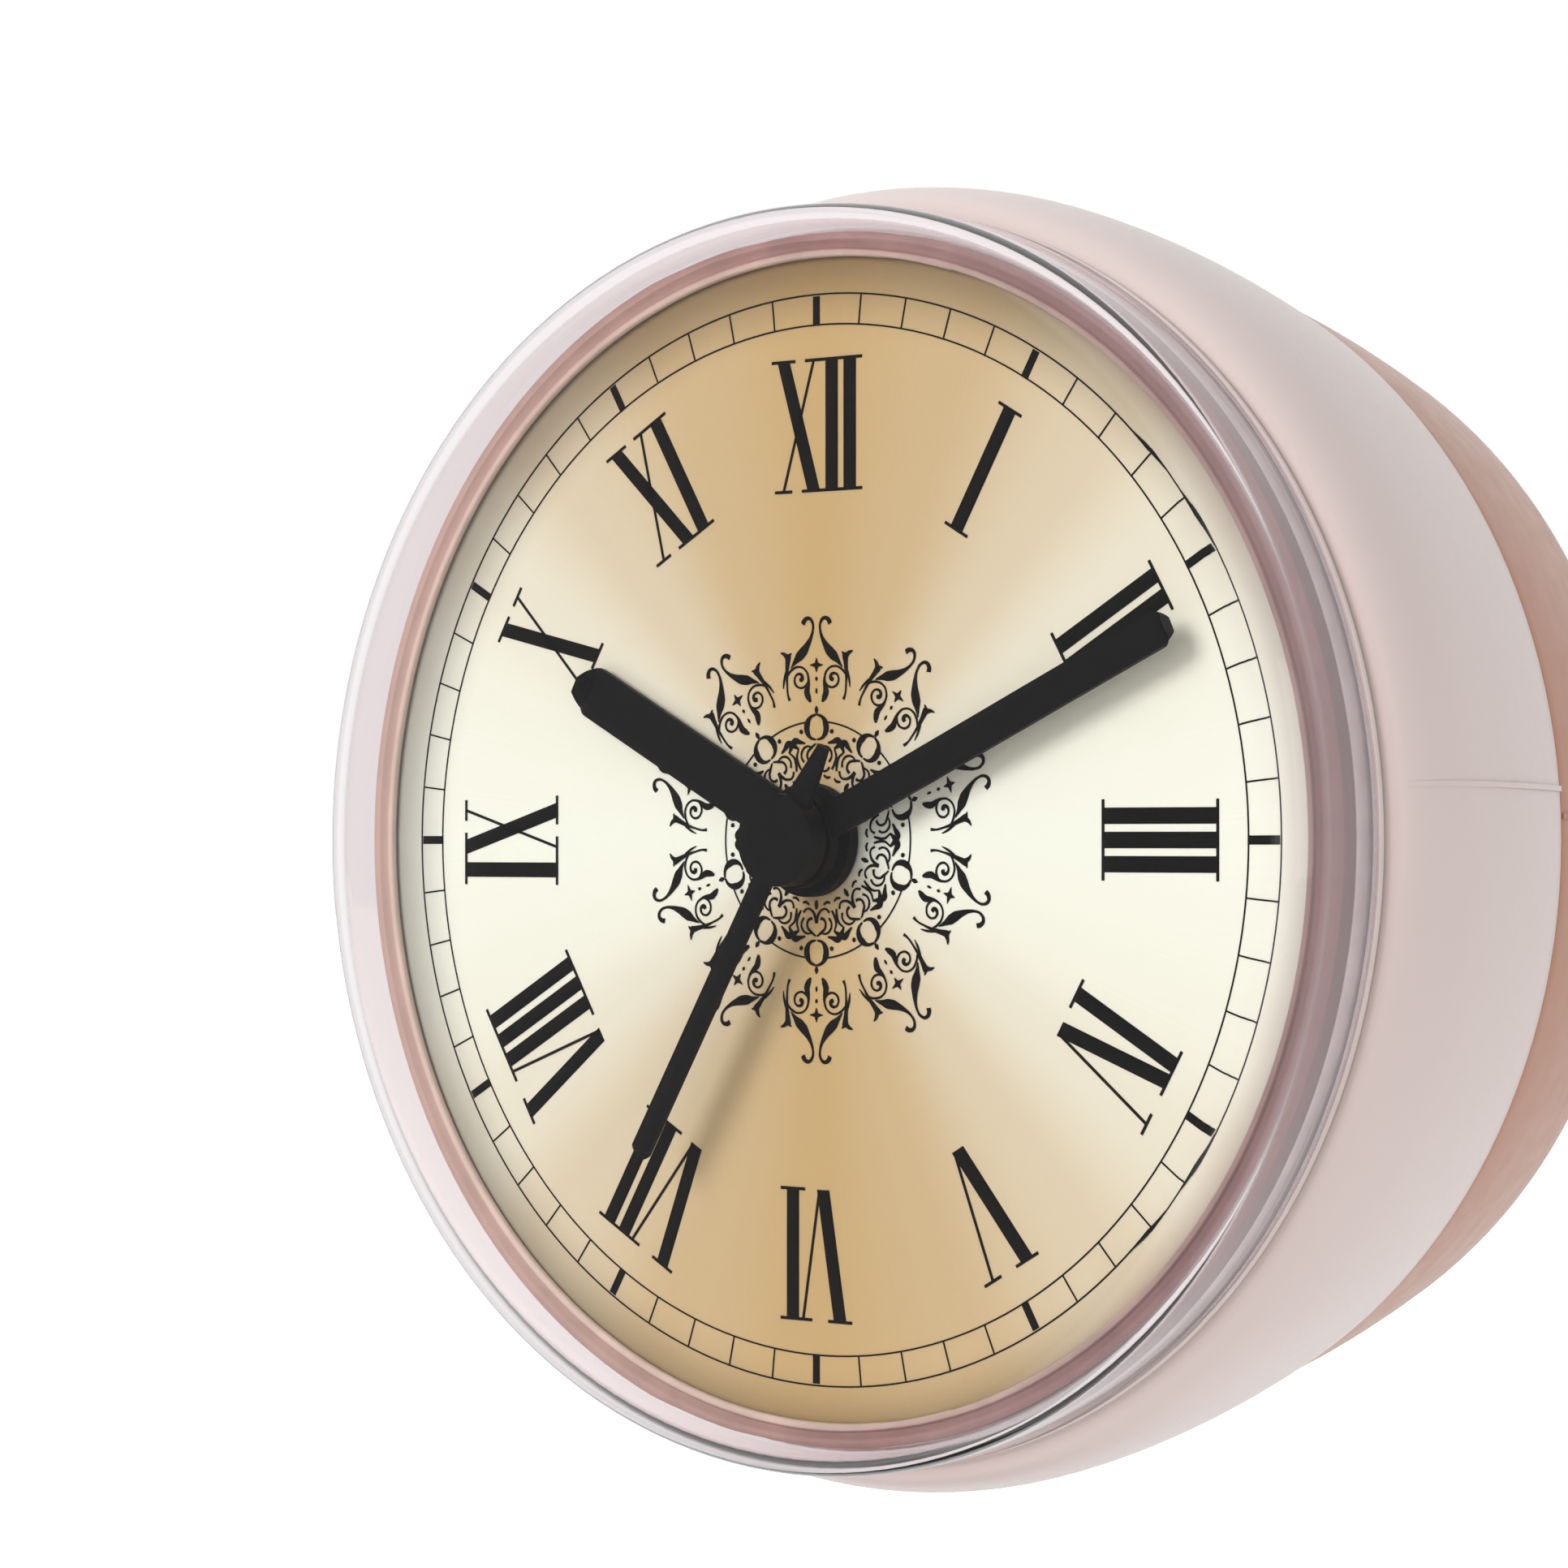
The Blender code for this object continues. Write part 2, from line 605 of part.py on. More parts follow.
def make_bezel_ring():
    """Rose ring: thin lip over the dial, a shallow trough, and a wall inside the lens skirt."""
    width = BEZEL_INNER - DIAL_OPENING_RADIUS
    profile = [
        (DIAL_OPENING_RADIUS + share * width, rise * BEZEL_LIP) for share, rise in BEZEL_FACE
    ]
    profile += [
        (BEZEL_OUTER, BEZEL_LIP),
        (BEZEL_OUTER, SHOULDER + SEAL_GAP),
        (BEZEL_INNER, SHOULDER + SEAL_GAP),
        (BEZEL_INNER, 0),
    ]
    return turned("bezel_ring", profile, ROSE_PLASTIC)


def holder_screw_angles():
    return [HOLDER_SCREW_ANGLE + FULL_TURN * i / SCREW_COUNT for i in range(SCREW_COUNT)]


def make_barrel_shell():
    """Pale barrel: front flange for the holder, thin swelling wall, thicker threaded socket."""
    steps = 6
    outer = []
    for i in range(steps + 1):
        share = (i / steps) ** 1.4
        height = SHOULDER - BARREL_LENGTH * share
        outer.append((barrel_radius(height), height))
    lip = 0.25 * MM
    last = outer.pop()
    outer += [(last[0], last[1] + lip), (last[0] - lip, last[1])]
    socket_front = NECK_FRONT + SEAT_GAP
    groove_middle = (NECK_FRONT + REAR_FRONT) / 2
    groove_floor = NECK_RADIUS + O_RING_SECTION
    groove_half = O_RING_SECTION / 2 + SEAL_GAP
    inner = [
        (SOCKET_RADIUS, BARREL_END),
        (SOCKET_RADIUS, groove_middle - groove_half),
        (groove_floor, groove_middle - groove_half),
        (groove_floor, groove_middle + groove_half),
        (SOCKET_RADIUS, groove_middle + groove_half),
        (SOCKET_RADIUS, socket_front),
        (barrel_radius(socket_front + BARREL_WALL) - BARREL_WALL, socket_front + BARREL_WALL),
        (barrel_radius(SHOULDER - BULGE_SHARE * BARREL_LENGTH) - BARREL_WALL,
         SHOULDER - BULGE_SHARE * BARREL_LENGTH),
        (barrel_radius(FLANGE_BACK) - BARREL_WALL, FLANGE_BACK),
        (FLANGE_OPENING, FLANGE_BACK),
        (FLANGE_OPENING, SHOULDER),
    ]
    barrel = turned("barrel_shell", outer + inner, BARREL_PLASTIC)
    for angle in holder_screw_angles():
        drill(
            barrel,
            HOLDER_SCREW_RADIUS + RUNNING_FIT,
            FLANGE_BACK - SEAT_GAP,
            SHOULDER + SEAT_GAP,
            polar(SCREW_CIRCLE, angle),
        )
    return barrel


def make_case_o_ring():
    middle = (NECK_FRONT + REAR_FRONT) / 2
    radius = (O_RING_SECTION - O_RING_SQUEEZE) / 2
    centre = NECK_RADIUS + O_RING_SECTION / 2
    section = [polar(radius, -FULL_TURN * i / 6, (centre, middle)) for i in range(6)]
    return turned("case_o_ring", section, SEAL_RUBBER)


def make_rear_shell():
    """Rose back cover: threaded neck, tapering side, rounded corner, hole for the cup's stud."""
    steps = 3
    side_end = REAR_BACK + BACK_CORNER
    outer = [(NECK_RADIUS, NECK_FRONT), (NECK_RADIUS, REAR_FRONT)]
    for i in range(steps + 1):
        height = REAR_FRONT + (side_end - REAR_FRONT) * i / steps
        outer.append((rear_radius(height), height))
    corner = (REAR_BACK_RADIUS - BACK_CORNER, side_end)
    outer += arc(corner, BACK_CORNER, 0, -math.pi / 2, 4)[1:]
    hole = CUP_STUD_RADIUS + SEAL_GAP
    inner = [
        (hole, REAR_BACK),
        (hole, REAR_FLOOR),
    ]
    inner += arc(corner, BACK_CORNER - REAR_WALL, -math.pi / 2, 0, 2)
    inner.append((rear_radius(NECK_BACK) - REAR_WALL, NECK_BACK - REAR_WALL))
    inner.append((NECK_RADIUS - REAR_WALL, REAR_FRONT))
    inner.append((NECK_RADIUS - REAR_WALL, NECK_FRONT))
    return turned("rear_shell", outer + inner, ROSE_PLASTIC)


def make_suction_cup():
    """Soft cup: mushroom head in the shell, neck, hub, flared skirt and hollow face."""
    hub_top = WALL + CUP_HEIGHT
    hub_back = hub_top - CUP_HUB_SHARE * CUP_HEIGHT
    head = REAR_FLOOR + SEAL_GAP
    profile = [
        (0, head + CUP_HEAD_HEIGHT),
        (CUP_HEAD_RADIUS * 0.6, head + CUP_HEAD_HEIGHT),
        (CUP_HEAD_RADIUS, head + CUP_HEAD_HEIGHT * 0.45),
        (CUP_HEAD_RADIUS, head),
        (CUP_STUD_RADIUS, head),
        (CUP_STUD_RADIUS, hub_top),
        (CUP_HUB_RADIUS, hub_top),
    ]
    flare = 4
    for i in range(flare + 1):
        share = i / flare
        radius = CUP_HUB_RADIUS + (CUP_RADIUS - CUP_HUB_RADIUS) * share
        drop = (hub_back - WALL) * share**1.35
        profile.append((radius, hub_back - drop + CUP_EDGE))
    profile.append((CUP_RADIUS, WALL))
    mouth = CUP_RADIUS - CUP_RIM_WIDTH
    hollow = 4
    for i in range(hollow + 1):
        radius = mouth * (1 - i / hollow)
        rise = CUP_HOLLOW_DEPTH * (1 - (radius / mouth) ** 2.4)
        profile.append((radius, WALL + rise))
    return turned("suction_cup", profile, SOFT_PVC)


def make_dial_plate():
    profile = rectangle((DIAL_HOLE, DIAL_BACK), (DIAL_RADIUS, DIAL_FRONT))
    return turned("dial_plate", profile, DIAL_GOLD)


def compass(angle):
    """Turns a clock angle, clockwise from twelve, into one from the dial's X axis."""
    return math.pi / 2 - angle


def blade_outline(start, length, width, end_steps):
    """Straight blade along +X with a rounded far end."""
    half = width / 2
    tip = arc((length - half, 0), half, -math.pi / 2, math.pi / 2, end_steps)
    return [(start, -half)] + tip + [(start, half)]


def make_hour_hand():
    base = DIAL_FRONT + HAND_CLEARANCE
    hub = rod("hour_hand", HOUR_HUB_RADIUS, base, HOUR_HUB_TOP, HAND_BLACK)
    outline = blade_outline(HOUR_PIPE, HOUR_HAND_LENGTH, HOUR_HAND_WIDTH, 8)
    low = (base + HOUR_HUB_TOP - HAND_THICKNESS) / 2
    outline = turned_outline(outline, compass(HOUR_ANGLE))
    fuse(hub, plate("hour_blade", outline, low, low + HAND_THICKNESS, HAND_BLACK))
    return drill(hub, HOUR_PIPE + PRESS_GAP, base - SEAT_GAP, HOUR_HUB_TOP + SEAT_GAP)


def make_minute_hand():
    base = HOUR_HUB_TOP + HAND_CLEARANCE
    hub = rod("minute_hand", MINUTE_HUB_RADIUS, base, MINUTE_HUB_TOP, HAND_BLACK)
    outline = blade_outline(MINUTE_TUBE, MINUTE_HAND_LENGTH, MINUTE_HAND_WIDTH, 6)
    low = (base + MINUTE_HUB_TOP - HAND_THICKNESS) / 2
    outline = turned_outline(outline, compass(MINUTE_ANGLE))
    fuse(hub, plate("minute_blade", outline, low, low + HAND_THICKNESS, HAND_BLACK))
    return drill(hub, MINUTE_TUBE + PRESS_GAP, base - SEAT_GAP, MINUTE_HUB_TOP + SEAT_GAP)


def make_second_hand():
    """Slim hand with a tapered counterweight tail and a tall closed hub."""
    base = MINUTE_HUB_TOP + HAND_CLEARANCE
    edge = 0.3 * MM
    hub = turned(
        "second_hand",
        [
            (0, SECOND_HUB_TOP),
            (SECOND_HUB_RADIUS - edge, SECOND_HUB_TOP),
            (SECOND_HUB_RADIUS, SECOND_HUB_TOP - edge),
            (SECOND_HUB_RADIUS, base),
            (0, base),
        ],
        HAND_BLACK,
        segments=PLATE_SEGMENTS,
    )
    half_root = SECOND_TAIL_WIDTH / 2
    half_tip = SECOND_HAND_WIDTH / 2
    outline = blade_outline(0, SECOND_HAND_LENGTH, SECOND_HAND_WIDTH, 5)
    tail = [(0, half_root), (-SECOND_TAIL_LENGTH, half_tip / 2)]
    tail += [(-SECOND_TAIL_LENGTH, -half_tip / 2), (0, -half_root)]
    low = (base + SECOND_HUB_TOP - HAND_THICKNESS) / 2
    outline = turned_outline(outline + tail, compass(SECOND_ANGLE))
    fuse(hub, plate("second_blade", outline, low, low + HAND_THICKNESS, HAND_BLACK))
    socket_top = SECOND_HUB_TOP - 2 * edge
    return drill(hub, SECOND_ARBOR_RADIUS + PRESS_GAP, base - SEAT_GAP, socket_top)


def make_movement_holder():
    """White ring behind the dial: a rebate for the movement's flange, and ribs on its back."""
    opening = MOVEMENT_RADIUS + SEAT_GAP
    rebate = MOVEMENT_RADIUS + MOVEMENT_FLANGE + SEAT_GAP
    rebate_floor = MOVEMENT_FRONT - FLANGE_HEIGHT - SEAL_GAP
    profile = [
        (rebate, HOLDER_FRONT),
        (DIAL_RADIUS, HOLDER_FRONT),
        (DIAL_RADIUS, HOLDER_BACK),
        (opening, HOLDER_BACK),
        (opening, rebate_floor),
        (rebate, rebate_floor),
    ]
    holder = turned("movement_holder", profile, WHITE_ABS)
    inner = rebate
    outer = FLANGE_OPENING - SEAT_GAP
    overlap = HOLDER_THICKNESS / 2
    for i in range(HOLDER_RIBS):
        rib = rectangle((inner, -HOLDER_RIB_WIDTH / 2), (outer, HOLDER_RIB_WIDTH / 2))
        angle = FULL_TURN * (i + 0.5) / HOLDER_RIBS
        helper = plate(
            f"holder_rib_{i}",
            turned_outline(rib, angle),
            HOLDER_BACK - HOLDER_RIB_DEPTH,
            HOLDER_BACK + overlap,
            WHITE_ABS,
        )
        fuse(holder, helper)
    for angle in holder_screw_angles():
        drill(
            holder,
            HOLDER_SCREW_RADIUS + RUNNING_FIT,
            HOLDER_BACK - SEAT_GAP,
            HOLDER_FRONT - SEAT_GAP,
            polar(SCREW_CIRCLE, angle),
        )
    return holder


def make_screw(name, radius, head_radius, head_height, seat, tip, where):
    """Pan-head screw driven from behind: the head lies behind the seat, the tip before it."""
    profile = [
        (0, tip),
        (radius, tip),
        (radius, seat),
        (head_radius, seat),
        (head_radius * 0.8, seat - head_height),
        (0, seat - head_height),
    ]
    return turned(name, profile, STEEL, where, PIVOT_SEGMENTS)


def make_holder_screws():
    for i, angle in enumerate(holder_screw_angles()):
        make_screw(
            f"holder_screw_{i + 1}",
            HOLDER_SCREW_RADIUS,
            HOLDER_SCREW_HEAD_RADIUS,
            HOLDER_SCREW_HEAD_HEIGHT,
            FLANGE_BACK - SEAL_GAP,
            HOLDER_FRONT - 2 * SEAT_GAP,
            polar(SCREW_CIRCLE, angle),
        )


def movement_screw_places():
    radius = MOVEMENT_INNER - SEAT_GAP - PILLAR_RADIUS
    angles = [MOVEMENT_SCREW_ANGLE + FULL_TURN * i / SCREW_COUNT for i in range(SCREW_COUNT)]
    return [polar(radius, angle) for angle in angles]


def make_movement_front_case():
    """Front plate with a seating flange, side wall, pillars and the wheels' posts."""
    wall_end = BRIDGE_FRONT + SEAL_GAP
    flange = MOVEMENT_RADIUS + MOVEMENT_FLANGE
    profile = [
        (0, MOVEMENT_FRONT),
        (flange, MOVEMENT_FRONT),
        (flange, MOVEMENT_FRONT - FLANGE_HEIGHT),
        (MOVEMENT_RADIUS, MOVEMENT_FRONT - FLANGE_HEIGHT),
        (MOVEMENT_RADIUS, wall_end),
        (MOVEMENT_INNER, wall_end),
        (MOVEMENT_INNER, PLATE_BACK),
        (0, PLATE_BACK),
    ]
    case = turned("movement_front_case", profile, BLACK_ABS, segments=PLATE_SEGMENTS)
    overlap = PLATE_THICKNESS / 2
    for i, place in enumerate(movement_screw_places()):
        pillar = rod(f"pillar_{i}", PILLAR_RADIUS, wall_end, PLATE_BACK + overlap, BLACK_ABS, place)
        fuse(case, pillar)
        bore = MOVEMENT_SCREW_RADIUS + RUNNING_FIT
        drill(case, bore, wall_end - SEAT_GAP, PLATE_BACK + SEAL_GAP, place)
    post_end = level_span(1)[0] - SEAL_GAP / 2
    post = rod(
        "minute_post", POST_RADIUS, post_end, PLATE_BACK + overlap, BLACK_ABS, MINUTE_WHEEL_AXIS
    )
    fuse(case, post)
    drill(case, HOUR_HOLE, PLATE_BACK - SEAT_GAP, MOVEMENT_FRONT + SEAT_GAP)
    pivot_floor = PLATE_BACK + PIVOT_DEPTH
    drill(case, PIVOT_RADIUS + RUNNING_FIT, PLATE_BACK - SEAT_GAP, pivot_floor, THIRD_AXIS)
    drill(case, PIVOT_RADIUS + RUNNING_FIT, PLATE_BACK - SEAT_GAP, pivot_floor, SETTING_AXIS)
    return case


def make_train_bridge():
    """Middle plate between the two halves, bored for every arbor that crosses it."""
    bridge = rod("train_bridge", MOVEMENT_RADIUS, BRIDGE_BACK, BRIDGE_FRONT, WHITE_ABS)
    low = BRIDGE_BACK - SEAT_GAP
    high = BRIDGE_FRONT + SEAT_GAP
    drill(bridge, POST_RADIUS + RUNNING_FIT, low, high)
    drill(bridge, SETTING_SHAFT_RADIUS + RUNNING_FIT, low, high, SETTING_AXIS)
    for place in (THIRD_AXIS, INTERMEDIATE_AXIS, ROTOR_AXIS):
        drill(bridge, PIVOT_RADIUS + RUNNING_FIT, low, high, place)
    for place in movement_screw_places():
        drill(bridge, MOVEMENT_SCREW_RADIUS + RUNNING_FIT, low, high, place)
    return bridge


def u_shape(radius):
    """Half circle with two straight arms towards +X."""
    half = arc(CENTRE, radius, math.pi / 2, 3 * math.pi / 2, 10)
    return [(WELL_REACH, radius)] + half + [(WELL_REACH, -radius)]


def plus_leg_places():
    """The two legs of the plus contact, on either side of the well."""
    side = WELL_RADIUS + WELL_WALL + SEAL_GAP + STRIP_THICKNESS / 2
    return [polar(side, CELL_DIRECTION + turn, CELL_AXIS) for turn in (math.pi / 2, -math.pi / 2)]


def minus_tab_place():
    return polar(CELL_RADIUS / 2, math.radians(50), CELL_AXIS)


def make_movement_rear_case():
    """Rear plate with a side wall, and a U-shaped well for the button cell on its back."""
    wall_front = BRIDGE_BACK - SEAL_GAP
    profile = [
        (0, REAR_PLATE_FRONT),
        (MOVEMENT_INNER, REAR_PLATE_FRONT),
        (MOVEMENT_INNER, wall_front),
        (MOVEMENT_RADIUS, wall_front),
        (MOVEMENT_RADIUS, REAR_PLATE_BACK),
        (0, REAR_PLATE_BACK),
    ]
    case = turned("movement_rear_case", profile, BLACK_ABS, segments=PLATE_SEGMENTS)
    overlap = PLATE_THICKNESS / 2
    well = u_shape(WELL_RADIUS + WELL_WALL) + u_shape(WELL_RADIUS)[::-1]
    well = turned_outline(well, CELL_DIRECTION, CELL_AXIS)
    fuse(case, plate("well_wall", well, CELL_BACK, REAR_PLATE_BACK + overlap, BLACK_ABS))
    through = (REAR_PLATE_BACK - SEAT_GAP, REAR_PLATE_FRONT + SEAT_GAP)
    drill(case, SETTING_SHAFT_RADIUS + RUNNING_FIT, through[0], through[1], SETTING_AXIS)
    for place in movement_screw_places():
        drill(case, MOVEMENT_SCREW_RADIUS + RUNNING_FIT, through[0], through[1], place)
    pivot_floor = REAR_PLATE_FRONT - PIVOT_DEPTH
    high = REAR_PLATE_FRONT + SEAT_GAP
    drill(case, SECOND_ARBOR_RADIUS + RUNNING_FIT, pivot_floor, high)
    for place in (INTERMEDIATE_AXIS, ROTOR_AXIS):
        drill(case, PIVOT_RADIUS + RUNNING_FIT, pivot_floor, high, place)
    slots = [("plus_slot", plus_leg_places()[0]), ("minus_slot", minus_tab_place())]
    for name, place in slots:
        size = (STRIP_THICKNESS / 2 + SLOT_FIT, TAB_WIDTH / 2 + SLOT_FIT)
        outline = rectangle((-size[1], -size[0]), size[::-1])
        helper = plate(
            name, turned_outline(outline, CELL_DIRECTION, place), through[0], through[1], BLACK_ABS
        )
        cut(case, helper)
    return case


def make_movement_screws():
    for i, place in enumerate(movement_screw_places()):
        make_screw(
            f"movement_screw_{i + 1}",
            MOVEMENT_SCREW_RADIUS,
            MOVEMENT_SCREW_HEAD_RADIUS,
            MOVEMENT_SCREW_HEAD_HEIGHT,
            REAR_PLATE_BACK - SEAL_GAP,
            PLATE_BACK - SEAL_GAP,
            place,
        )


def make_second_arbor():
    low = REAR_PLATE_FRONT - PIVOT_DEPTH + SEAL_GAP / 2
    high = SECOND_HUB_TOP - HAND_THICKNESS - SEAT_GAP
    return rod("second_arbor", SECOND_ARBOR_RADIUS, low, high, STEEL)


def make_second_wheel():
    """Acetal wheel behind the bridge with its pinion before it, on a hub through the bridge."""
    low, high = level_span(4)
    wheel = plate(
        "second_wheel",
        wheel_outline(SECOND_TEETH, TRAIN_MODULE, PHASES["second"]),
        low,
        high,
        GEAR_POM,
    )
    pinion_low, pinion_high = level_span(3)
    pinion = plate(
        "second_pinion",
        leaf_outline(SECOND_LEAVES, TRAIN_MODULE, PHASES["second_pinion"]),
        pinion_low,
        pinion_high,
        GEAR_POM,
    )
    fuse(wheel, rod("second_hub", POST_RADIUS, low + WHEEL_THICKNESS / 2, pinion_high, GEAR_POM))
    fuse(wheel, pinion)
    return drill(wheel, SECOND_ARBOR_RADIUS + PRESS_GAP, low - SEAT_GAP, pinion_high + SEAT_GAP)


def make_intermediate_wheel():
    pinion_low, pinion_high = level_span(4)
    low, high = level_span(5)
    wheel = plate(
        "intermediate_wheel",
        wheel_outline(INTERMEDIATE_TEETH, ROTOR_MODULE, PHASES["intermediate_wheel"]),
        low,
        high,
        GEAR_POM,
        INTERMEDIATE_AXIS,
    )
    pinion = plate(
        "intermediate_pinion",
        leaf_outline(INTERMEDIATE_LEAVES, TRAIN_MODULE, PHASES["intermediate_pinion"]),
        pinion_low,
        pinion_high,
        GEAR_POM,
        INTERMEDIATE_AXIS,
    )
    arbor = rod(
        "intermediate_arbor",
        PIVOT_RADIUS,
        REAR_PLATE_FRONT - PIVOT_DEPTH + SEAL_GAP / 2,
        BRIDGE_BACK + BRIDGE_THICKNESS / 2,
        GEAR_POM,
        INTERMEDIATE_AXIS,
    )
    hub = rod(
        "intermediate_hub",
        POST_RADIUS,
        low + WHEEL_THICKNESS / 2,
        pinion_low + WHEEL_THICKNESS / 2,
        GEAR_POM,
        INTERMEDIATE_AXIS,
    )
    return fuse(fuse(fuse(wheel, hub), pinion), arbor)


def make_rotor():
    """Pinion with a long hub, and the ferrite ring pressed on it."""
    low, high = level_span(5)
    magnet_low, magnet_high = level_span(4)
    pinion = plate(
        "rotor_pinion",
        leaf_outline(ROTOR_LEAVES, ROTOR_MODULE, PHASES["rotor"]),
        low,
        high,
        GEAR_POM,
        ROTOR_AXIS,
    )
    hub = rod(
        "rotor_hub", ARBOR_RADIUS, low + WHEEL_THICKNESS / 2, magnet_high, GEAR_POM, ROTOR_AXIS
    )
    arbor = rod(
        "rotor_arbor",
        PIVOT_RADIUS,
        REAR_PLATE_FRONT - PIVOT_DEPTH + SEAL_GAP / 2,
        BRIDGE_BACK + BRIDGE_THICKNESS / 2,
        GEAR_POM,
        ROTOR_AXIS,
    )
    fuse(fuse(pinion, hub), arbor)
    profile = rectangle((ARBOR_RADIUS + PRESS_GAP, magnet_low), (MAGNET_RADIUS, magnet_high))
    turned("rotor_magnet", profile, FERRITE, ROTOR_AXIS, SMALL_SEGMENTS)


def make_third_wheel():
    pinion_low, pinion_high = level_span(2)
    low, high = level_span(3)
    wheel = plate(
        "third_wheel",
        wheel_outline(THIRD_TEETH, TRAIN_MODULE, PHASES["third_wheel"]),
        low,
        high,
        GEAR_POM,
        THIRD_AXIS,
    )
    pinion = plate(
        "third_pinion",
        leaf_outline(THIRD_LEAVES, CENTRE_MODULE, PHASES["third_pinion"]),
        low + WHEEL_THICKNESS / 2,
        pinion_high,
        GEAR_POM,
        THIRD_AXIS,
    )
    shaft = rod(
        "third_shaft",
        ARBOR_RADIUS,
        pinion_low + WHEEL_THICKNESS / 2,
        PLATE_BACK - SEAL_GAP,
        GEAR_POM,
        THIRD_AXIS,
    )
    pivots = rod(
        "third_pivots",
        PIVOT_RADIUS,
        BRIDGE_BACK + BRIDGE_THICKNESS / 2,
        PLATE_BACK + PIVOT_DEPTH - SEAL_GAP / 2,
        GEAR_POM,
        THIRD_AXIS,
    )
    return fuse(fuse(fuse(wheel, pinion), shaft), pivots)


def make_centre_wheel():
    """Wheel that turns the minute tube through a friction spring in its front recess."""
    low, high = level_span(2)
    wheel = plate(
        "centre_wheel",
        wheel_outline(CENTRE_TEETH, CENTRE_MODULE, PHASES["centre"]),
        low,
        high,
        GEAR_POM,
    )
    recess_radius = CLUTCH_RADIUS + SEAT_GAP
    drill(wheel, recess_radius, high - CLUTCH_RECESS, high + SEAT_GAP)
    return drill(wheel, MINUTE_TUBE + RUNNING_FIT, low - SEAT_GAP, high)


def make_clutch_spring():
    """Three-armed friction washer fixed on the minute tube, bearing on the centre wheel."""
    high = level_span(2)[1]
    floor = high - CLUTCH_RECESS
    low = floor + (CLUTCH_RECESS - CLUTCH_THICKNESS) / 2
    ring_radius = MINUTE_TUBE + 2 * MINUTE_TUBE_WALL
    spring = rod("clutch_spring", ring_radius, low, low + CLUTCH_THICKNESS, BRASS)
    half = ring_radius / 3
    for i in range(CLUTCH_ARMS):
        arm = blade_outline(MINUTE_TUBE, CLUTCH_RADIUS, 2 * half, 2)
        outline = turned_outline(arm, FULL_TURN * i / CLUTCH_ARMS)
        fuse(spring, plate(f"clutch_arm_{i}", outline, low, low + CLUTCH_THICKNESS, BRASS))
    return drill(spring, MINUTE_TUBE + PRESS_GAP, low - SEAT_GAP, low + SEAT_GAP)


def make_minute_arbor():
    """Tube on the centre line with the cannon pinion moulded on it."""
    low = level_span(2)[0]
    pinion_low, pinion_high = level_span(1)
    tube = rod("minute_arbor", MINUTE_TUBE, low, MINUTE_HUB_TOP, GEAR_POM)
    pinion = plate(
        "cannon_pinion",
        leaf_outline(CANNON_LEAVES, MOTION_MODULE, PHASES["cannon"]),
        pinion_low,
        pinion_high,
        GEAR_POM,
    )
    fuse(tube, pinion)
    return drill(tube, MINUTE_BORE, low - SEAT_GAP, MINUTE_HUB_TOP + SEAT_GAP)


def make_minute_wheel():
    pinion_low, pinion_high = level_span(0)
    low, high = level_span(1)
    wheel = plate(
        "minute_wheel",
        wheel_outline(MINUTE_TEETH, MOTION_MODULE, PHASES["minute_wheel"]),
        low,
        high,
        GEAR_POM,
        MINUTE_WHEEL_AXIS,
    )
    pinion = plate(
        "minute_pinion",
        leaf_outline(MINUTE_LEAVES, HOUR_MODULE, PHASES["minute_pinion"]),
        low + WHEEL_THICKNESS / 2,
        pinion_high,
        GEAR_POM,
        MINUTE_WHEEL_AXIS,
    )
    fuse(wheel, pinion)
    bore = POST_RADIUS + RUNNING_FIT
    return drill(wheel, bore, low - SEAT_GAP, pinion_high + SEAT_GAP, MINUTE_WHEEL_AXIS)


def make_hour_wheel():
    """Wheel whose pipe carries the hour hand out through the dial."""
    low, high = level_span(0)
    wheel = plate(
        "hour_wheel",
        wheel_outline(HOUR_TEETH, HOUR_MODULE, PHASES["hour"]),
        low,
        high,
        GEAR_POM,
    )
    pipe_low = low + WHEEL_THICKNESS / 2
    fuse(wheel, rod("hour_pipe", HOUR_PIPE, pipe_low, HOUR_HUB_TOP, GEAR_POM))
    return drill(wheel, HOUR_BORE, low - SEAT_GAP, HOUR_HUB_TOP + SEAT_GAP)


def make_setting_gear():
    """Gear on a long shaft that comes out at the back for the knob."""
    low, high = level_span(1)
    gear = plate(
        "setting_gear",
        wheel_outline(SETTING_TEETH, MOTION_MODULE, PHASES["setting"]),
        low,
        high,
        GEAR_POM,
        SETTING_AXIS,
    )
    knob_back = REAR_PLATE_BACK - SEAT_GAP - KNOB_HEIGHT
    shaft_end = knob_back + SEAT_GAP
    shaft = rod(
        "setting_shaft", SETTING_SHAFT_RADIUS, shaft_end, PLATE_BACK - SEAL_GAP, GEAR_POM, SETTING_AXIS
    )
    pivot = rod(
        "setting_pivot",
        PIVOT_RADIUS,
        low,
        PLATE_BACK + PIVOT_DEPTH - SEAL_GAP / 2,
        GEAR_POM,
        SETTING_AXIS,
    )
    return fuse(fuse(gear, shaft), pivot)


def make_setting_knob():
    """Fluted knob pressed on the setting shaft."""
    high = REAR_PLATE_BACK - SEAT_GAP
    low = high - KNOB_HEIGHT
    outline = []
    for i in range(2 * KNOB_FLUTES):
        radius = KNOB_RADIUS if i % 2 == 0 else KNOB_RADIUS * 0.92
        outline.append(polar(radius, FULL_TURN * i / (2 * KNOB_FLUTES)))
    knob = plate("setting_knob", outline, low, high, WHITE_ABS, SETTING_AXIS)
    bore = SETTING_SHAFT_RADIUS + PRESS_GAP
    return drill(knob, bore, low + SEAT_GAP / 2, high + SEAT_GAP, SETTING_AXIS)


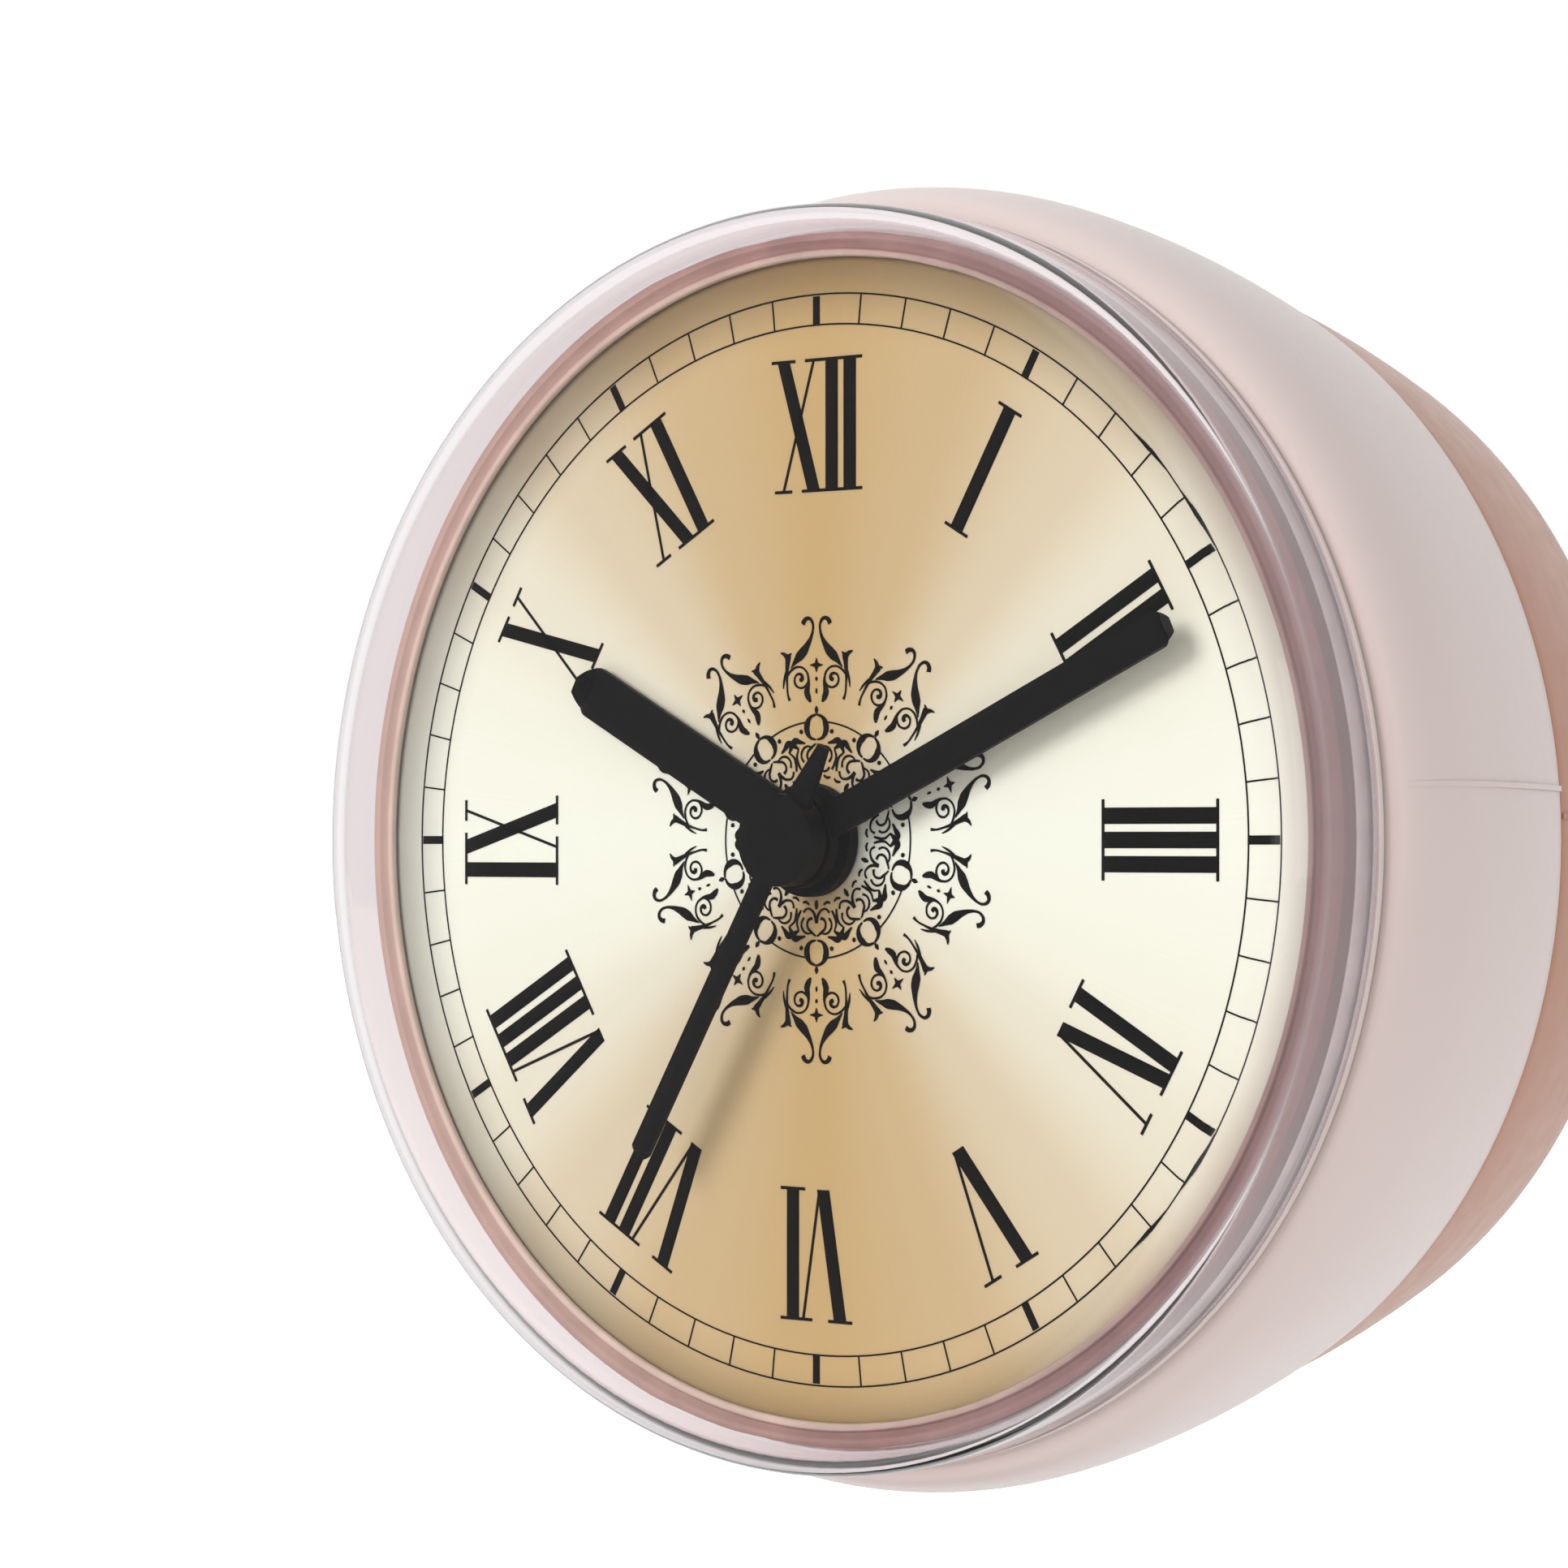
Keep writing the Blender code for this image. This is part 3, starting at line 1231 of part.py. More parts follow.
def make_stator():
    """Steel plate: a ring round the magnet and two legs that reach the coil core's ends."""
    core_half = coil_core_half()
    coil_top = -COIL_DISTANCE + COIL_RADIUS + SEAT_GAP
    foot = -COIL_DISTANCE - CORE_WIDTH / 2
    arm_top = coil_top + STATOR_LEG
    low, high = STATOR_BACK, STATOR_TOP
    stator = rod("stator", STATOR_RADIUS, low, high, STEEL, ROTOR_AXIS)
    left = rectangle((-core_half, foot), (-core_half + STATOR_LEG, ROTOR_AXIS[1]))
    right = rectangle((core_half - STATOR_LEG, foot), (core_half, arm_top))
    across = rectangle((ROTOR_AXIS[0], coil_top), (core_half - STATOR_LEG / 2, arm_top))
    for name, outline in (("left_leg", left), ("right_leg", right), ("stator_arm", across)):
        fuse(stator, plate(name, outline, low, high, STEEL))
    hole_low, hole_high = low - SEAT_GAP, high + SEAT_GAP
    return drill(stator, STATOR_HOLE, hole_low, hole_high, ROTOR_AXIS)


def coil_core_half():
    return COIL_LENGTH / 2 + STATOR_LEG


def coil_turned(name, profile, finish):
    """A piece turned about the coil's axis, which lies along the dial's X axis."""
    piece = turned(name, profile, finish, (0.0, -COIL_DISTANCE), SMALL_SEGMENTS)
    piece.location.z = COIL_HEIGHT
    piece.rotation_euler = (0, math.radians(90), 0)
    return piece


def make_coil():
    """Core bar, bobbin with two flanges, and the winding between them."""
    half = coil_core_half()
    size = CORE_WIDTH / 2
    y = -COIL_DISTANCE
    outline = rectangle((-half, y - size), (half, y + size))
    plate("coil_core", outline, COIL_HEIGHT - size, COIL_HEIGHT + size, STEEL)
    bore = math.hypot(size, size) + SEAL_GAP / 4
    tube = bore + BOBBIN_TUBE_WALL
    end = COIL_LENGTH / 2
    inside = end - BOBBIN_FLANGE
    bobbin = [
        (bore, end),
        (COIL_RADIUS, end),
        (COIL_RADIUS, inside),
        (tube, inside),
        (tube, -inside),
        (COIL_RADIUS, -inside),
        (COIL_RADIUS, -end),
        (bore, -end),
    ]
    coil_turned("coil_bobbin", bobbin, WHITE_ABS)
    winding_half = inside - SEAL_GAP / 2
    winding = rectangle((tube + PRESS_GAP, -winding_half), (COIL_RADIUS - PRESS_GAP, winding_half))
    coil_turned("coil_winding", winding, COPPER)


def make_electronics():
    """Board under the bridge, with the crystal can and the chip's round cover on it."""
    low = (BOARD_CORNER[0] - BOARD_WIDTH, BOARD_CORNER[1])
    high = (BOARD_CORNER[0], BOARD_CORNER[1] + BOARD_HEIGHT)
    plate("circuit_board", rectangle(low, high), BOARD_BACK, BOARD_TOP, BOARD_GREEN)
    crystal = turned(
        "quartz_crystal",
        [
            (0, CRYSTAL_LENGTH / 2),
            (CRYSTAL_RADIUS, CRYSTAL_LENGTH / 2),
            (CRYSTAL_RADIUS, -CRYSTAL_LENGTH / 2),
            (0, -CRYSTAL_LENGTH / 2),
        ],
        STEEL,
        (high[0] - CRYSTAL_RADIUS - SEAT_GAP, low[1] + CRYSTAL_LENGTH / 2 + SEAT_GAP),
        SMALL_SEGMENTS,
    )
    crystal.location.z = BOARD_BACK - SEAL_GAP / 2 - CRYSTAL_RADIUS
    crystal.rotation_euler = (math.radians(90), 0, 0)
    cover_top = BOARD_BACK - SEAL_GAP / 4
    cover = [(0, cover_top), (CHIP_RADIUS, cover_top)]
    cover += arc((0, cover_top), CHIP_RADIUS, 0, -math.pi / 2, 4)[1:]
    squash = CHIP_HEIGHT / CHIP_RADIUS
    cover = [(radius, cover_top - (cover_top - height) * squash) for radius, height in cover]
    corner = CHIP_RADIUS + SEAT_GAP
    turned("clock_chip", cover, BLACK_ABS, (low[0] + corner, low[1] + corner), SMALL_SEGMENTS)


def make_button_cell():
    """Steel can with the stepped minus cap towards the movement."""
    cap = CELL_RADIUS - CELL_SHOULDER
    profile = [
        (0, CELL_FRONT),
        (cap, CELL_FRONT),
        (cap, CELL_FRONT - CELL_SHOULDER / 2),
        (CELL_RADIUS, CELL_FRONT - CELL_SHOULDER),
        (CELL_RADIUS, CELL_BACK),
        (0, CELL_BACK),
    ]
    return turned("button_cell", profile, STEEL, CELL_AXIS, PLATE_SEGMENTS)


def make_contacts():
    """Plus strap over the cell's back, and minus leaf under its front, each with a tab."""
    legs = plus_leg_places()
    strip = STRIP_THICKNESS / 2
    span = math.dist(*legs) / 2 + strip
    across = rectangle((-TAB_WIDTH / 2, -span), (TAB_WIDTH / 2, span))
    strap_back = STRAP_FRONT - STRIP_THICKNESS
    plus = plate(
        "cell_contact_plus",
        turned_outline(across, CELL_DIRECTION, CELL_AXIS),
        strap_back,
        STRAP_FRONT,
        BRASS,
    )
    leg = rectangle((-TAB_WIDTH / 2, -strip), (TAB_WIDTH / 2, strip))
    tops = (BOARD_BACK - SEAT_GAP, REAR_PLATE_BACK - SEAT_GAP)
    for i, (place, top) in enumerate(zip(legs, tops)):
        outline = turned_outline(leg, CELL_DIRECTION, place)
        fuse(plus, plate(f"plus_leg_{i}", outline, strap_back, top, BRASS))
    leaf_top = REAR_PLATE_BACK - STRIP_THICKNESS / 3
    leaf_back = leaf_top - STRIP_THICKNESS
    tab = minus_tab_place()
    outline = rectangle((-CELL_RADIUS / 2, -STRIP_WIDTH / 2), (CELL_RADIUS / 2, STRIP_WIDTH / 2))
    minus = plate(
        "cell_contact_minus",
        turned_outline(outline, CELL_DIRECTION, tab),
        leaf_back,
        leaf_top,
        BRASS,
    )
    outline = turned_outline(leg, CELL_DIRECTION, tab)
    fuse(minus, plate("minus_tab", outline, leaf_back, BOARD_BACK - SEAT_GAP, BRASS))


def build_case():
    make_lens()
    make_lens_gasket()
    make_bezel_ring()
    make_barrel_shell()
    make_case_o_ring()
    make_rear_shell()
    make_suction_cup()


def build_face():
    make_dial_plate()
    make_hour_hand()
    make_minute_hand()
    make_second_hand()


def build_movement():
    make_movement_holder()
    make_holder_screws()
    make_movement_front_case()
    make_train_bridge()
    make_movement_rear_case()
    make_movement_screws()


def build_train():
    make_second_arbor()
    make_second_wheel()
    make_intermediate_wheel()
    make_rotor()
    make_third_wheel()
    make_centre_wheel()
    make_clutch_spring()
    make_minute_arbor()
    make_minute_wheel()
    make_hour_wheel()
    make_setting_gear()
    make_setting_knob()


def build_motor_and_power():
    make_stator()
    make_coil()
    make_electronics()
    make_button_cell()
    make_contacts()


build_case()
build_face()
build_movement()
build_train()
build_motor_and_power()
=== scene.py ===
"""Looks for a small suction-cup wall clock, built round its fixed solid model.

The clock faces -Y, and its axis is the world's Y axis. A piece's section is written as pairs of
radius and height in millimetres, where height is 0 just in front of the dial's face and grows
towards the reader.
"""

import math

import bmesh
import bpy
from bpy.props import FloatProperty, FloatVectorProperty, IntProperty, PointerProperty
from mathutils import Matrix, Vector


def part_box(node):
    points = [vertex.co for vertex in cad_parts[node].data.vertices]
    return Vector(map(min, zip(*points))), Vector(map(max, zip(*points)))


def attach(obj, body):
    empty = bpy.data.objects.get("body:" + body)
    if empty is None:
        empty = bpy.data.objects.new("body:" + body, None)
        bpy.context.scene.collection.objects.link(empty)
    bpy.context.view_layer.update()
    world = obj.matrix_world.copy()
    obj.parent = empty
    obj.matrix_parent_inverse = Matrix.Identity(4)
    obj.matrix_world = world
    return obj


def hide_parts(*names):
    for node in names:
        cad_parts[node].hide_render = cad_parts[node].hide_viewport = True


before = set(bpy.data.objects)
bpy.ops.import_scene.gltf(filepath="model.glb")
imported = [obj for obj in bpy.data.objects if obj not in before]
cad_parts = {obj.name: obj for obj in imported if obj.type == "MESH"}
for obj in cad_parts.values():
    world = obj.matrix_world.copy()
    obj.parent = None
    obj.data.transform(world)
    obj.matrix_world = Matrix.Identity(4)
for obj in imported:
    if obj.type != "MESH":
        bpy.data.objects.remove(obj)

bl_info = {
    "name": "Shower Clock",
    "version": (1, 0, 0),
    "blender": (4, 5, 0),
    "location": "3D View > Sidebar > Clock",
    "description": "Makes the visible pieces, finishes and stage of a suction-cup wall clock",
    "category": "Object",
}

MM = 0.001
FULL_TURN = 2 * math.pi
UPRIGHT = (math.radians(90), 0, 0)
MERGE = 0.0005 * MM
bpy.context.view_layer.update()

# Radius of the bezel's opening in millimetres
OPENING = 31.4
# The dial's face lies this many millimetres behind height 0, which is at FACE_Y in the world
DIAL_RECESS = 0.15
FACE_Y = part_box("dial_plate")[0].y - DIAL_RECESS * MM


def height_of(y):
    return (FACE_Y - y) / MM


def radius_of(node):
    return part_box(node)[1].x / MM


def top_of(node):
    return height_of(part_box(node)[0].y)


def foot_of(node):
    return height_of(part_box(node)[1].y)


def linear(code):
    """An sRGB hex colour as linear RGBA."""
    channels = [int(code[i : i + 2], 16) / 255 for i in (0, 2, 4)]
    return [c / 12.92 if c <= 0.04045 else ((c + 0.055) / 1.055) ** 2.4 for c in channels] + [1.0]


def length(name, description, default):
    return FloatProperty(
        name=name, description=description, default=default * MM, unit="LENGTH", precision=5
    )


def tint(name, description, code):
    return FloatVectorProperty(
        name=name, description=description, default=linear(code), size=4, subtype="COLOR",
        min=0.0, max=1.0,
    )


class ClockSizes(bpy.types.PropertyGroup):
    """Sizes of what is added to the solid model."""

    round_steps: IntProperty(
        name="Steps round", description="Faces round a turned piece", default=160, min=24
    )
    hand_edge: length("Hand edge", "Rounding of a hand's pressed edge", 0.09)
    ink: length("Ink", "Thickness of the printing on the dial", 0.03)
    numeral_middle: length("Numeral middle", "Distance of a numeral's middle from the centre", 22.4)
    numeral_height: length("Numeral height", "Height of a numeral", 7.05)
    stem: length("Stem", "Width of a numeral's thick stroke", 0.84)
    hairline: length("Hairline", "Width of a numeral's thin stroke", 0.17)
    track_outer: length("Track outside", "Outer radius of the minute track", 29.45)
    track_inner: length("Track inside", "Inner radius of the minute track", 27.8)
    track_line: length("Track line", "Width of the minute track's lines", 0.09)
    track_bar: length("Track bar", "Width of the five-minute bars", 0.46)
    rosette_line: length("Rosette line", "Half width of a rosette stroke of weight 1", 1.15)
    seam_width: length("Seam width", "Width of the mould's parting line", 0.28)
    thread_height: length("Thread height", "Height of the thread on the neck", 0.2)


class ClockColours(bpy.types.PropertyGroup):
    """Colours of the finishes."""

    barrel: tint("Barrel", "Pale moulded barrel", "D9C9C5")
    rose: tint("Rose", "Rose plastic of the rear cover", "B6826A")
    # The dial's tan and cream are the sunray brushing's reflection painted into its colour: the cream
    # towards three and nine is a painted reflection
    dial_tan: tint("Dial tan", "Dial towards twelve and six", "D0AF7A")
    dial_painted_reflection: tint("Dial cream", "Dial towards three and nine", "FEFFF0")
    ink: tint("Ink", "Printing on the dial", "080707")
    hand: tint("Hand", "Paint of the hands", "101011")


class StageSettings(bpy.types.PropertyGroup):
    """Camera and light."""

    azimuth: FloatProperty(
        name="Azimuth", description="Camera's turn from straight ahead, to the clock's right",
        default=math.radians(38.9), subtype="ANGLE",
    )
    elevation: FloatProperty(
        name="Elevation", description="Camera's height as an angle", default=0.0, subtype="ANGLE"
    )
    distance: FloatProperty(
        name="Distance", description="From the dial's centre to the camera", default=0.2375,
        unit="LENGTH",
    )
    lens: FloatProperty(name="Lens", description="Focal length in mm", default=100.8)
    shift: FloatVectorProperty(
        name="Shift", description="Camera's shift, as shares of the picture's width",
        default=(-0.0223, 0.0357), size=2,
    )
    floor_drop: FloatProperty(
        name="Floor drop", description="Height of the clock's middle over the floor",
        default=0.075, unit="LENGTH",
    )
    ambient: FloatProperty(
        name="Ambient", description="Strength of the even light", default=0.64, min=0.0
    )


# Modelling helpers


def deselect_all():
    if bpy.context.object and bpy.context.object.mode != "OBJECT":
        bpy.ops.object.mode_set(mode="OBJECT")
    bpy.ops.object.select_all(action="DESELECT")


def pick(*pieces):
    """Selects only these objects, with the first one active."""
    deselect_all()
    for piece in pieces:
        piece.select_set(True)
    bpy.context.view_layer.objects.active = pieces[0]


def added(primitive, **settings):
    """Adds a primitive, a lamp or a camera with nothing else selected."""
    deselect_all()
    primitive(**settings)
    return bpy.context.object


def edit(piece):
    """Goes into edit mode on this object alone."""
    pick(piece)
    bpy.ops.object.mode_set(mode="EDIT")


def at(x, y, height):
    """A point of the dial's frame in the world: x right, y up, height towards the reader."""
    return Vector((x * MM, FACE_Y - height * MM, y * MM))


def polar(radius, angle, centre=(0.0, 0.0)):
    return (centre[0] + radius * math.cos(angle), centre[1] + radius * math.sin(angle))


def arc(centre, radius, start, end, steps):
    """Points along an arc of a section, both ends included."""
    return [polar(radius, start + (end - start) * i / steps, centre) for i in range(steps + 1)]


def name_piece(piece, name):
    piece.name = name
    piece.data.name = name
    return piece


def settle(piece, smooth=30):
    """Applies the object's place, and shades faces smooth up to an angle in degrees."""
    pick(piece)
    bpy.ops.object.transform_apply(location=True, rotation=True, scale=True)
    bpy.ops.object.shade_smooth_by_angle(angle=math.radians(smooth))
    return piece


def tidy_mesh():
    """In edit mode: merges doubled points and turns every face outwards."""
    bpy.ops.mesh.select_all(action="SELECT")
    bpy.ops.mesh.remove_doubles(threshold=MERGE)
    bpy.ops.mesh.normals_make_consistent(inside=False)


def select_only(piece, kind, passes):
    """Goes into edit mode with only those verts, edges or faces selected that pass a test."""
    edit(piece)
    mesh = bmesh.from_edit_mesh(piece.data)
    for item in list(mesh.faces) + list(mesh.edges) + list(mesh.verts):
        item.select_set(False)
    for item in getattr(mesh, kind):
        if passes(item):
            item.select_set(True)
    mesh.select_flush_mode()
    bmesh.update_edit_mesh(piece.data)


def join_ends(piece):
    """In edit mode, after a line is drawn: adds the edge from its last point to its first."""
    mesh = bmesh.from_edit_mesh(piece.data)
    mesh.verts.ensure_lookup_table()
    mesh.verts[0].select_set(True)
    mesh.select_flush_mode()
    bmesh.update_edit_mesh(piece.data)
    bpy.ops.mesh.edge_face_add()


def draw_line(name, points):
    """Draws a line of edges by extruding one point after another. Stays in edit mode."""
    piece = name_piece(added(bpy.ops.mesh.primitive_plane_add, size=MM), name)
    edit(piece)
    bpy.ops.mesh.select_all(action="SELECT")
    bpy.ops.mesh.merge(type="CENTER")
    bpy.ops.transform.translate(value=points[0])
    for before, after in zip(points, points[1:]):
        bpy.ops.mesh.extrude_region_move(TRANSFORM_OT_translate={"value": after - before})
    return piece


def turned(name, section, steps, closed=True):
    """Spins a section about the clock's axis. An open section starts and ends on the axis."""
    piece = draw_line(name, [at(radius, 0.0, height) for radius, height in section])
    if closed:
        join_ends(piece)
    bpy.ops.mesh.select_all(action="SELECT")
    bpy.ops.mesh.spin(steps=steps, angle=FULL_TURN, center=(0, 0, 0), axis=(0, 1, 0))
    tidy_mesh()
    bpy.ops.object.mode_set(mode="OBJECT")
    return settle(piece)


def joined(name, pieces):
    pick(*pieces)
    bpy.ops.object.join()
    return name_piece(bpy.context.object, name)


def copy_of(piece):
    twin = piece.copy()
    twin.data = piece.data.copy()
    bpy.context.scene.collection.objects.link(twin)
    return twin


def turn_about_axis(piece, angle):
    """Turns a piece clockwise about the dial's centre, as the reader sees it."""
    piece.data.transform(Matrix.Rotation(angle, 4, "Y"))


def apply_modifier(piece, kind, **settings):
    pick(piece)
    modifier = piece.modifiers.new(kind.title(), kind)
    for key, value in settings.items():
        setattr(modifier, key, value)
    bpy.ops.object.modifier_apply(modifier=modifier.name)


def dress(piece, finish):
    piece.data.materials.clear()
    piece.data.materials.append(finish)


def sizes():
    return bpy.context.scene.clock_sizes


def colours():
    return bpy.context.scene.clock_colours


def hold(piece, finish, body, slot, *nodes):
    """Gives a piece its finish, fixes it to a body, and hides the nodes it stands for."""
    dress(piece, finish)
    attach(piece, body)
    if nodes:
        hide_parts(*nodes)


# Finishes

# Nearly all of a noise's values lie between these
NOISE_LOW = 0.3
NOISE_HIGH = 0.7

# Sockets of a colour mix: what it starts from, what it goes to, and its result
FROM, TO, MIXED = 6, 7, 2


def give(tree, node, inputs):
    """Gives each input a value, or a link from a socket or from another node's first output.

    Inputs are a dictionary, or a tuple in the order of the node's own sockets.
    """
    for key, value in inputs.items() if isinstance(inputs, dict) else enumerate(inputs):
        if isinstance(value, bpy.types.Node):
            value = value.outputs[0]
        if isinstance(value, bpy.types.NodeSocket):
            tree.links.new(value, node.inputs[key])
        else:
            node.inputs[key].default_value = value


def put(tree, kind, inputs=(), **settings):
    """Adds a shader node, sets its properties and gives it its inputs."""
    node = tree.nodes.new("ShaderNode" + kind)
    for key, value in settings.items():
        setattr(node, key, value)
    give(tree, node, inputs)
    return node


def start_finish(name, roughness, metallic=0.0, **sockets):
    """A material with its shader's plain values set, and nothing of an earlier run in it.

    Returns it with its tree, its shader and the place on the piece.
    """
    made = bpy.data.materials.get(name) or bpy.data.materials.new(name)
    made.use_nodes = True
    tree = made.node_tree
    for node in list(tree.nodes):
        if node.type not in ("BSDF_PRINCIPLED", "OUTPUT_MATERIAL"):
            tree.nodes.remove(node)
    surface = tree.nodes["Principled BSDF"]
    give(tree, surface, {"Roughness": roughness, "Metallic": metallic})
    give(tree, surface, {key.replace("_", " "): value for key, value in sockets.items()})
    return made, tree, surface, put(tree, "TexCoord").outputs["Object"]


def set_ramp(node, stops):
    """Gives a colour ramp its stops, each a position and a linear colour."""
    elements = node.color_ramp.elements
    while len(elements) < len(stops):
        elements.new(0.5)
    for element, (position, colour) in zip(elements, stops):
        element.position = position
        element.color = colour
    return node


def per_metre(size_mm):
    """Noise scale that gives features of this size."""
    return 1 / (size_mm * MM)


def grained(name, first, second, patch, grain, relief, low, high, **sockets):
    """Two close tones in soft patches, roughness between low and high, and a fine grain.

    patch, grain and relief are the patches' size, the grain's size and its height in mm.
    """
    made, tree, surface, place = start_finish(name, (low + high) / 2, **sockets)
    patches = put(tree, "TexNoise", {"Vector": place, "Scale": per_metre(patch), "Detail": 3.0})
    tone = put(tree, "Mix", {"Factor": patches, FROM: first, TO: second}, data_type="RGBA")
    fine = put(tree, "TexNoise", {"Vector": place, "Scale": per_metre(grain), "Detail": 2.0})
    rough = put(tree, "MapRange", (fine, NOISE_LOW, NOISE_HIGH, low, high))
    bump = put(tree, "Bump", {"Height": fine, "Distance": relief * MM})
    give(tree, surface, {"Base Color": tone.outputs[MIXED], "Roughness": rough, "Normal": bump})
    return made


def from_axis(tree, place):
    """Distance from the clock's axis."""
    across = put(tree, "VectorMath", (place, (1.0, 0.0, 1.0)), operation="MULTIPLY")
    return put(tree, "VectorMath", {0: across}, operation="LENGTH").outputs["Value"]


def shade(colour, factor):
    """A colour made darker or lighter by a factor."""
    return [c * factor for c in colour[:3]] + [1.0]


def shade_over(tree, colour, factor):
    """A colour made darker or lighter by a factor that varies over the piece."""
    grey = put(tree, "CombineColor", (factor, factor, factor))
    return put(
        tree, "Mix", {"Factor": 1.0, FROM: colour, TO: grey}, data_type="RGBA",
        blend_type="MULTIPLY",
    ).outputs[MIXED]


def bands(tree, value, low, high, stops, flip=False):
    """Colours along a value from low to high. A stop is a size in mm and a colour.

    With flip, sizes are heights, which fall as the value grows.
    """
    share = put(tree, "MapRange", (value, low, high))
    placed = []
    for size, code in stops:
        at_value = FACE_Y - size * MM if flip else size * MM
        placed.append(((at_value - low) / (high - low), linear(code)))
    return set_ramp(put(tree, "ValToRGB", {0: share}), placed)


def barrel_polypropylene():
    """Moulded polypropylene: pale and milky, with a satin skin."""
    base = list(colours().barrel)
    return grained(
        "moulded_polypropylene", base, shade(base, 0.965), 9.0, 0.5, 0.002, 0.34, 0.42,
        Coat_Weight=0.25, Coat_Roughness=0.22,
    )


def rose_abs():
    """Moulded ABS, rose brown: an even, glossier skin over a very slight orange peel."""
    base = list(colours().rose)
    return grained(
        "moulded_rose_abs", base, shade(base, 0.95), 7.0, 1.5, 0.0008, 0.3, 0.38,
        Coat_Weight=0.1, Coat_Roughness=0.2, Specular_IOR_Level=0.35,
    )


def bezel_abs():
    """The bezel's ABS: pale rose on its lip, with painted shade darkening its trough and its outer
    edge, and mauve down the side wall, darkened with painted shade where it stands in the narrow
    gap behind the cap. The wall's foot has painted light, pale where the cap lights it."""
    made, tree, surface, place = start_finish("lacquered_bezel_abs", 0.3, Coat_Weight=0.3)
    axes = put(tree, "SeparateXYZ", {"Vector": place}).outputs
    sideways, depth = axes["X"], axes["Y"]
    # Across the top: pale on the lip, with painted shade in the trough and towards the outer edge
    across = bands(
        tree, from_axis(tree, place), OPENING * MM, 33.0 * MM,
        ((OPENING, "E2CBC0"), (31.72, "DCC1B6"), (31.82, "B48F89"), (32.3, "AC8682"),
         (32.5, "C09B95"), (33.0, "AD8884")),
    )
    # Down the side wall: mauve with painted shade deepening towards the gap behind the cap, then
    # painted light on the pale foot
    down = bands(
        tree, depth, FACE_Y - 0.3 * MM, FACE_Y + 2.5 * MM,
        ((0.3, "A8827F"), (0.0, "9A7372"), (-0.6, "8C6462"), (-0.78, "75504E"),
         (-0.9, "F6F0F1"), (-2.5, "EFE5E6")),
        flip=True,
    )
    side = put(tree, "MapRange", (depth, FACE_Y - 0.1 * MM, FACE_Y - 0.04 * MM))
    both = put(tree, "Mix", {"Factor": side, FROM: across, TO: down}, data_type="RGBA")
    waves = put(tree, "TexNoise", {"Vector": place, "Scale": per_metre(2.4), "Detail": 3.0})
    uneven = put(tree, "MapRange", (waves, 0.35, 0.65, 0.88, 1.06))
    # Painted light and shade: the ring is painted pale tan towards the left, where the light falls,
    # and deep mauve towards the right, where it lies in shade
    reach = 33 * MM
    painted_side_light = put(tree, "MapRange", (sideways, -reach, reach, 1.35, 0.56))
    # The foot of the wall, which painted light makes pale
    lit_foot_mask = put(tree, "MapRange", (depth, FACE_Y + 0.78 * MM, FACE_Y + 0.9 * MM))
    painted_light_factor = put(tree, "Mix", {"Factor": lit_foot_mask, "A": painted_side_light, "B": 0.9})
    strength = put(tree, "Math", (uneven, painted_light_factor), operation="MULTIPLY")
    tone = shade_over(tree, both.outputs[MIXED], strength)
    # Painted light: the left side is mixed towards pale tan
    left = put(tree, "MapRange", (sideways, -reach, 0.0, 0.6, 0.0))
    tan = put(tree, "Mix", {"Factor": left, FROM: tone, TO: linear("DCC8B8")}, data_type="RGBA")
    # Painted shade: the right-hand wall above its foot is mixed towards deep mauve
    right = put(tree, "MapRange", (sideways, 0.0, reach, 0.0, 0.4))
    not_foot = put(tree, "Math", (1.0, lit_foot_mask), operation="SUBTRACT")
    painted_shade_right_wall = put(tree, "Math", (right, not_foot), operation="MULTIPLY")
    painted_shade_mauve = put(
        tree, "Mix", {"Factor": painted_shade_right_wall, FROM: tan.outputs[MIXED], TO: linear("784649")},
        data_type="RGBA",
    )
    bump = put(tree, "Bump", {"Height": waves, "Distance": 0.01 * MM})
    give(tree, surface, {"Base Color": painted_shade_mauve.outputs[MIXED], "Normal": bump})
    return made


def clear_polycarbonate():
    """Polished clear polycarbonate: sharp reflections, a faint warm tint in thick edges."""
    made, tree, surface, place = start_finish(
        "polished_polycarbonate", 0.02, Transmission_Weight=1.0, IOR=1.585
    )
    rim = put(
        tree, "MapRange", (from_axis(tree, place), OPENING * MM, 33.4 * MM),
        interpolation_type="SMOOTHSTEP",
    )
    warm = put(
        tree, "Mix", {"Factor": rim, FROM: linear("FFFFFF"), TO: linear("F7EEF0")}, data_type="RGBA"
    ).outputs[MIXED]
    waves = put(tree, "TexNoise", {"Vector": place, "Scale": per_metre(6.0), "Detail": 1.0})
    bump = put(tree, "Bump", {"Height": waves, "Distance": 0.004 * MM})
    give(tree, surface, {"Base Color": warm, "Normal": bump})
    # A lamp's rays go straight through, so that the dial isn't in the cap's shadow
    through = put(tree, "BsdfTransparent", {"Color": warm})
    lamp_rays = put(tree, "LightPath").outputs["Is Shadow Ray"]
    either = put(tree, "MixShader", (lamp_rays, surface, through))
    give(tree, tree.nodes["Material Output"], {"Surface": either})
    return made


def soft_pvc():
    """Plasticised PVC: soft, clear with a milky cast, with a slightly greasy gloss."""
    return grained(
        "plasticised_pvc", linear("F5EFEA"), linear("ECE3DC"), 6.0, 2.5, 0.003, 0.07, 0.13,
        Transmission_Weight=0.82, IOR=1.53, Coat_Weight=0.2,
    )


def seal_silicone():
    """Silicone rubber: matte and slightly dusty."""
    return grained(
        "silicone_rubber", linear("DDD1CD"), linear("D2C4BF"), 3.0, 0.2, 0.003, 0.5, 0.65
    )


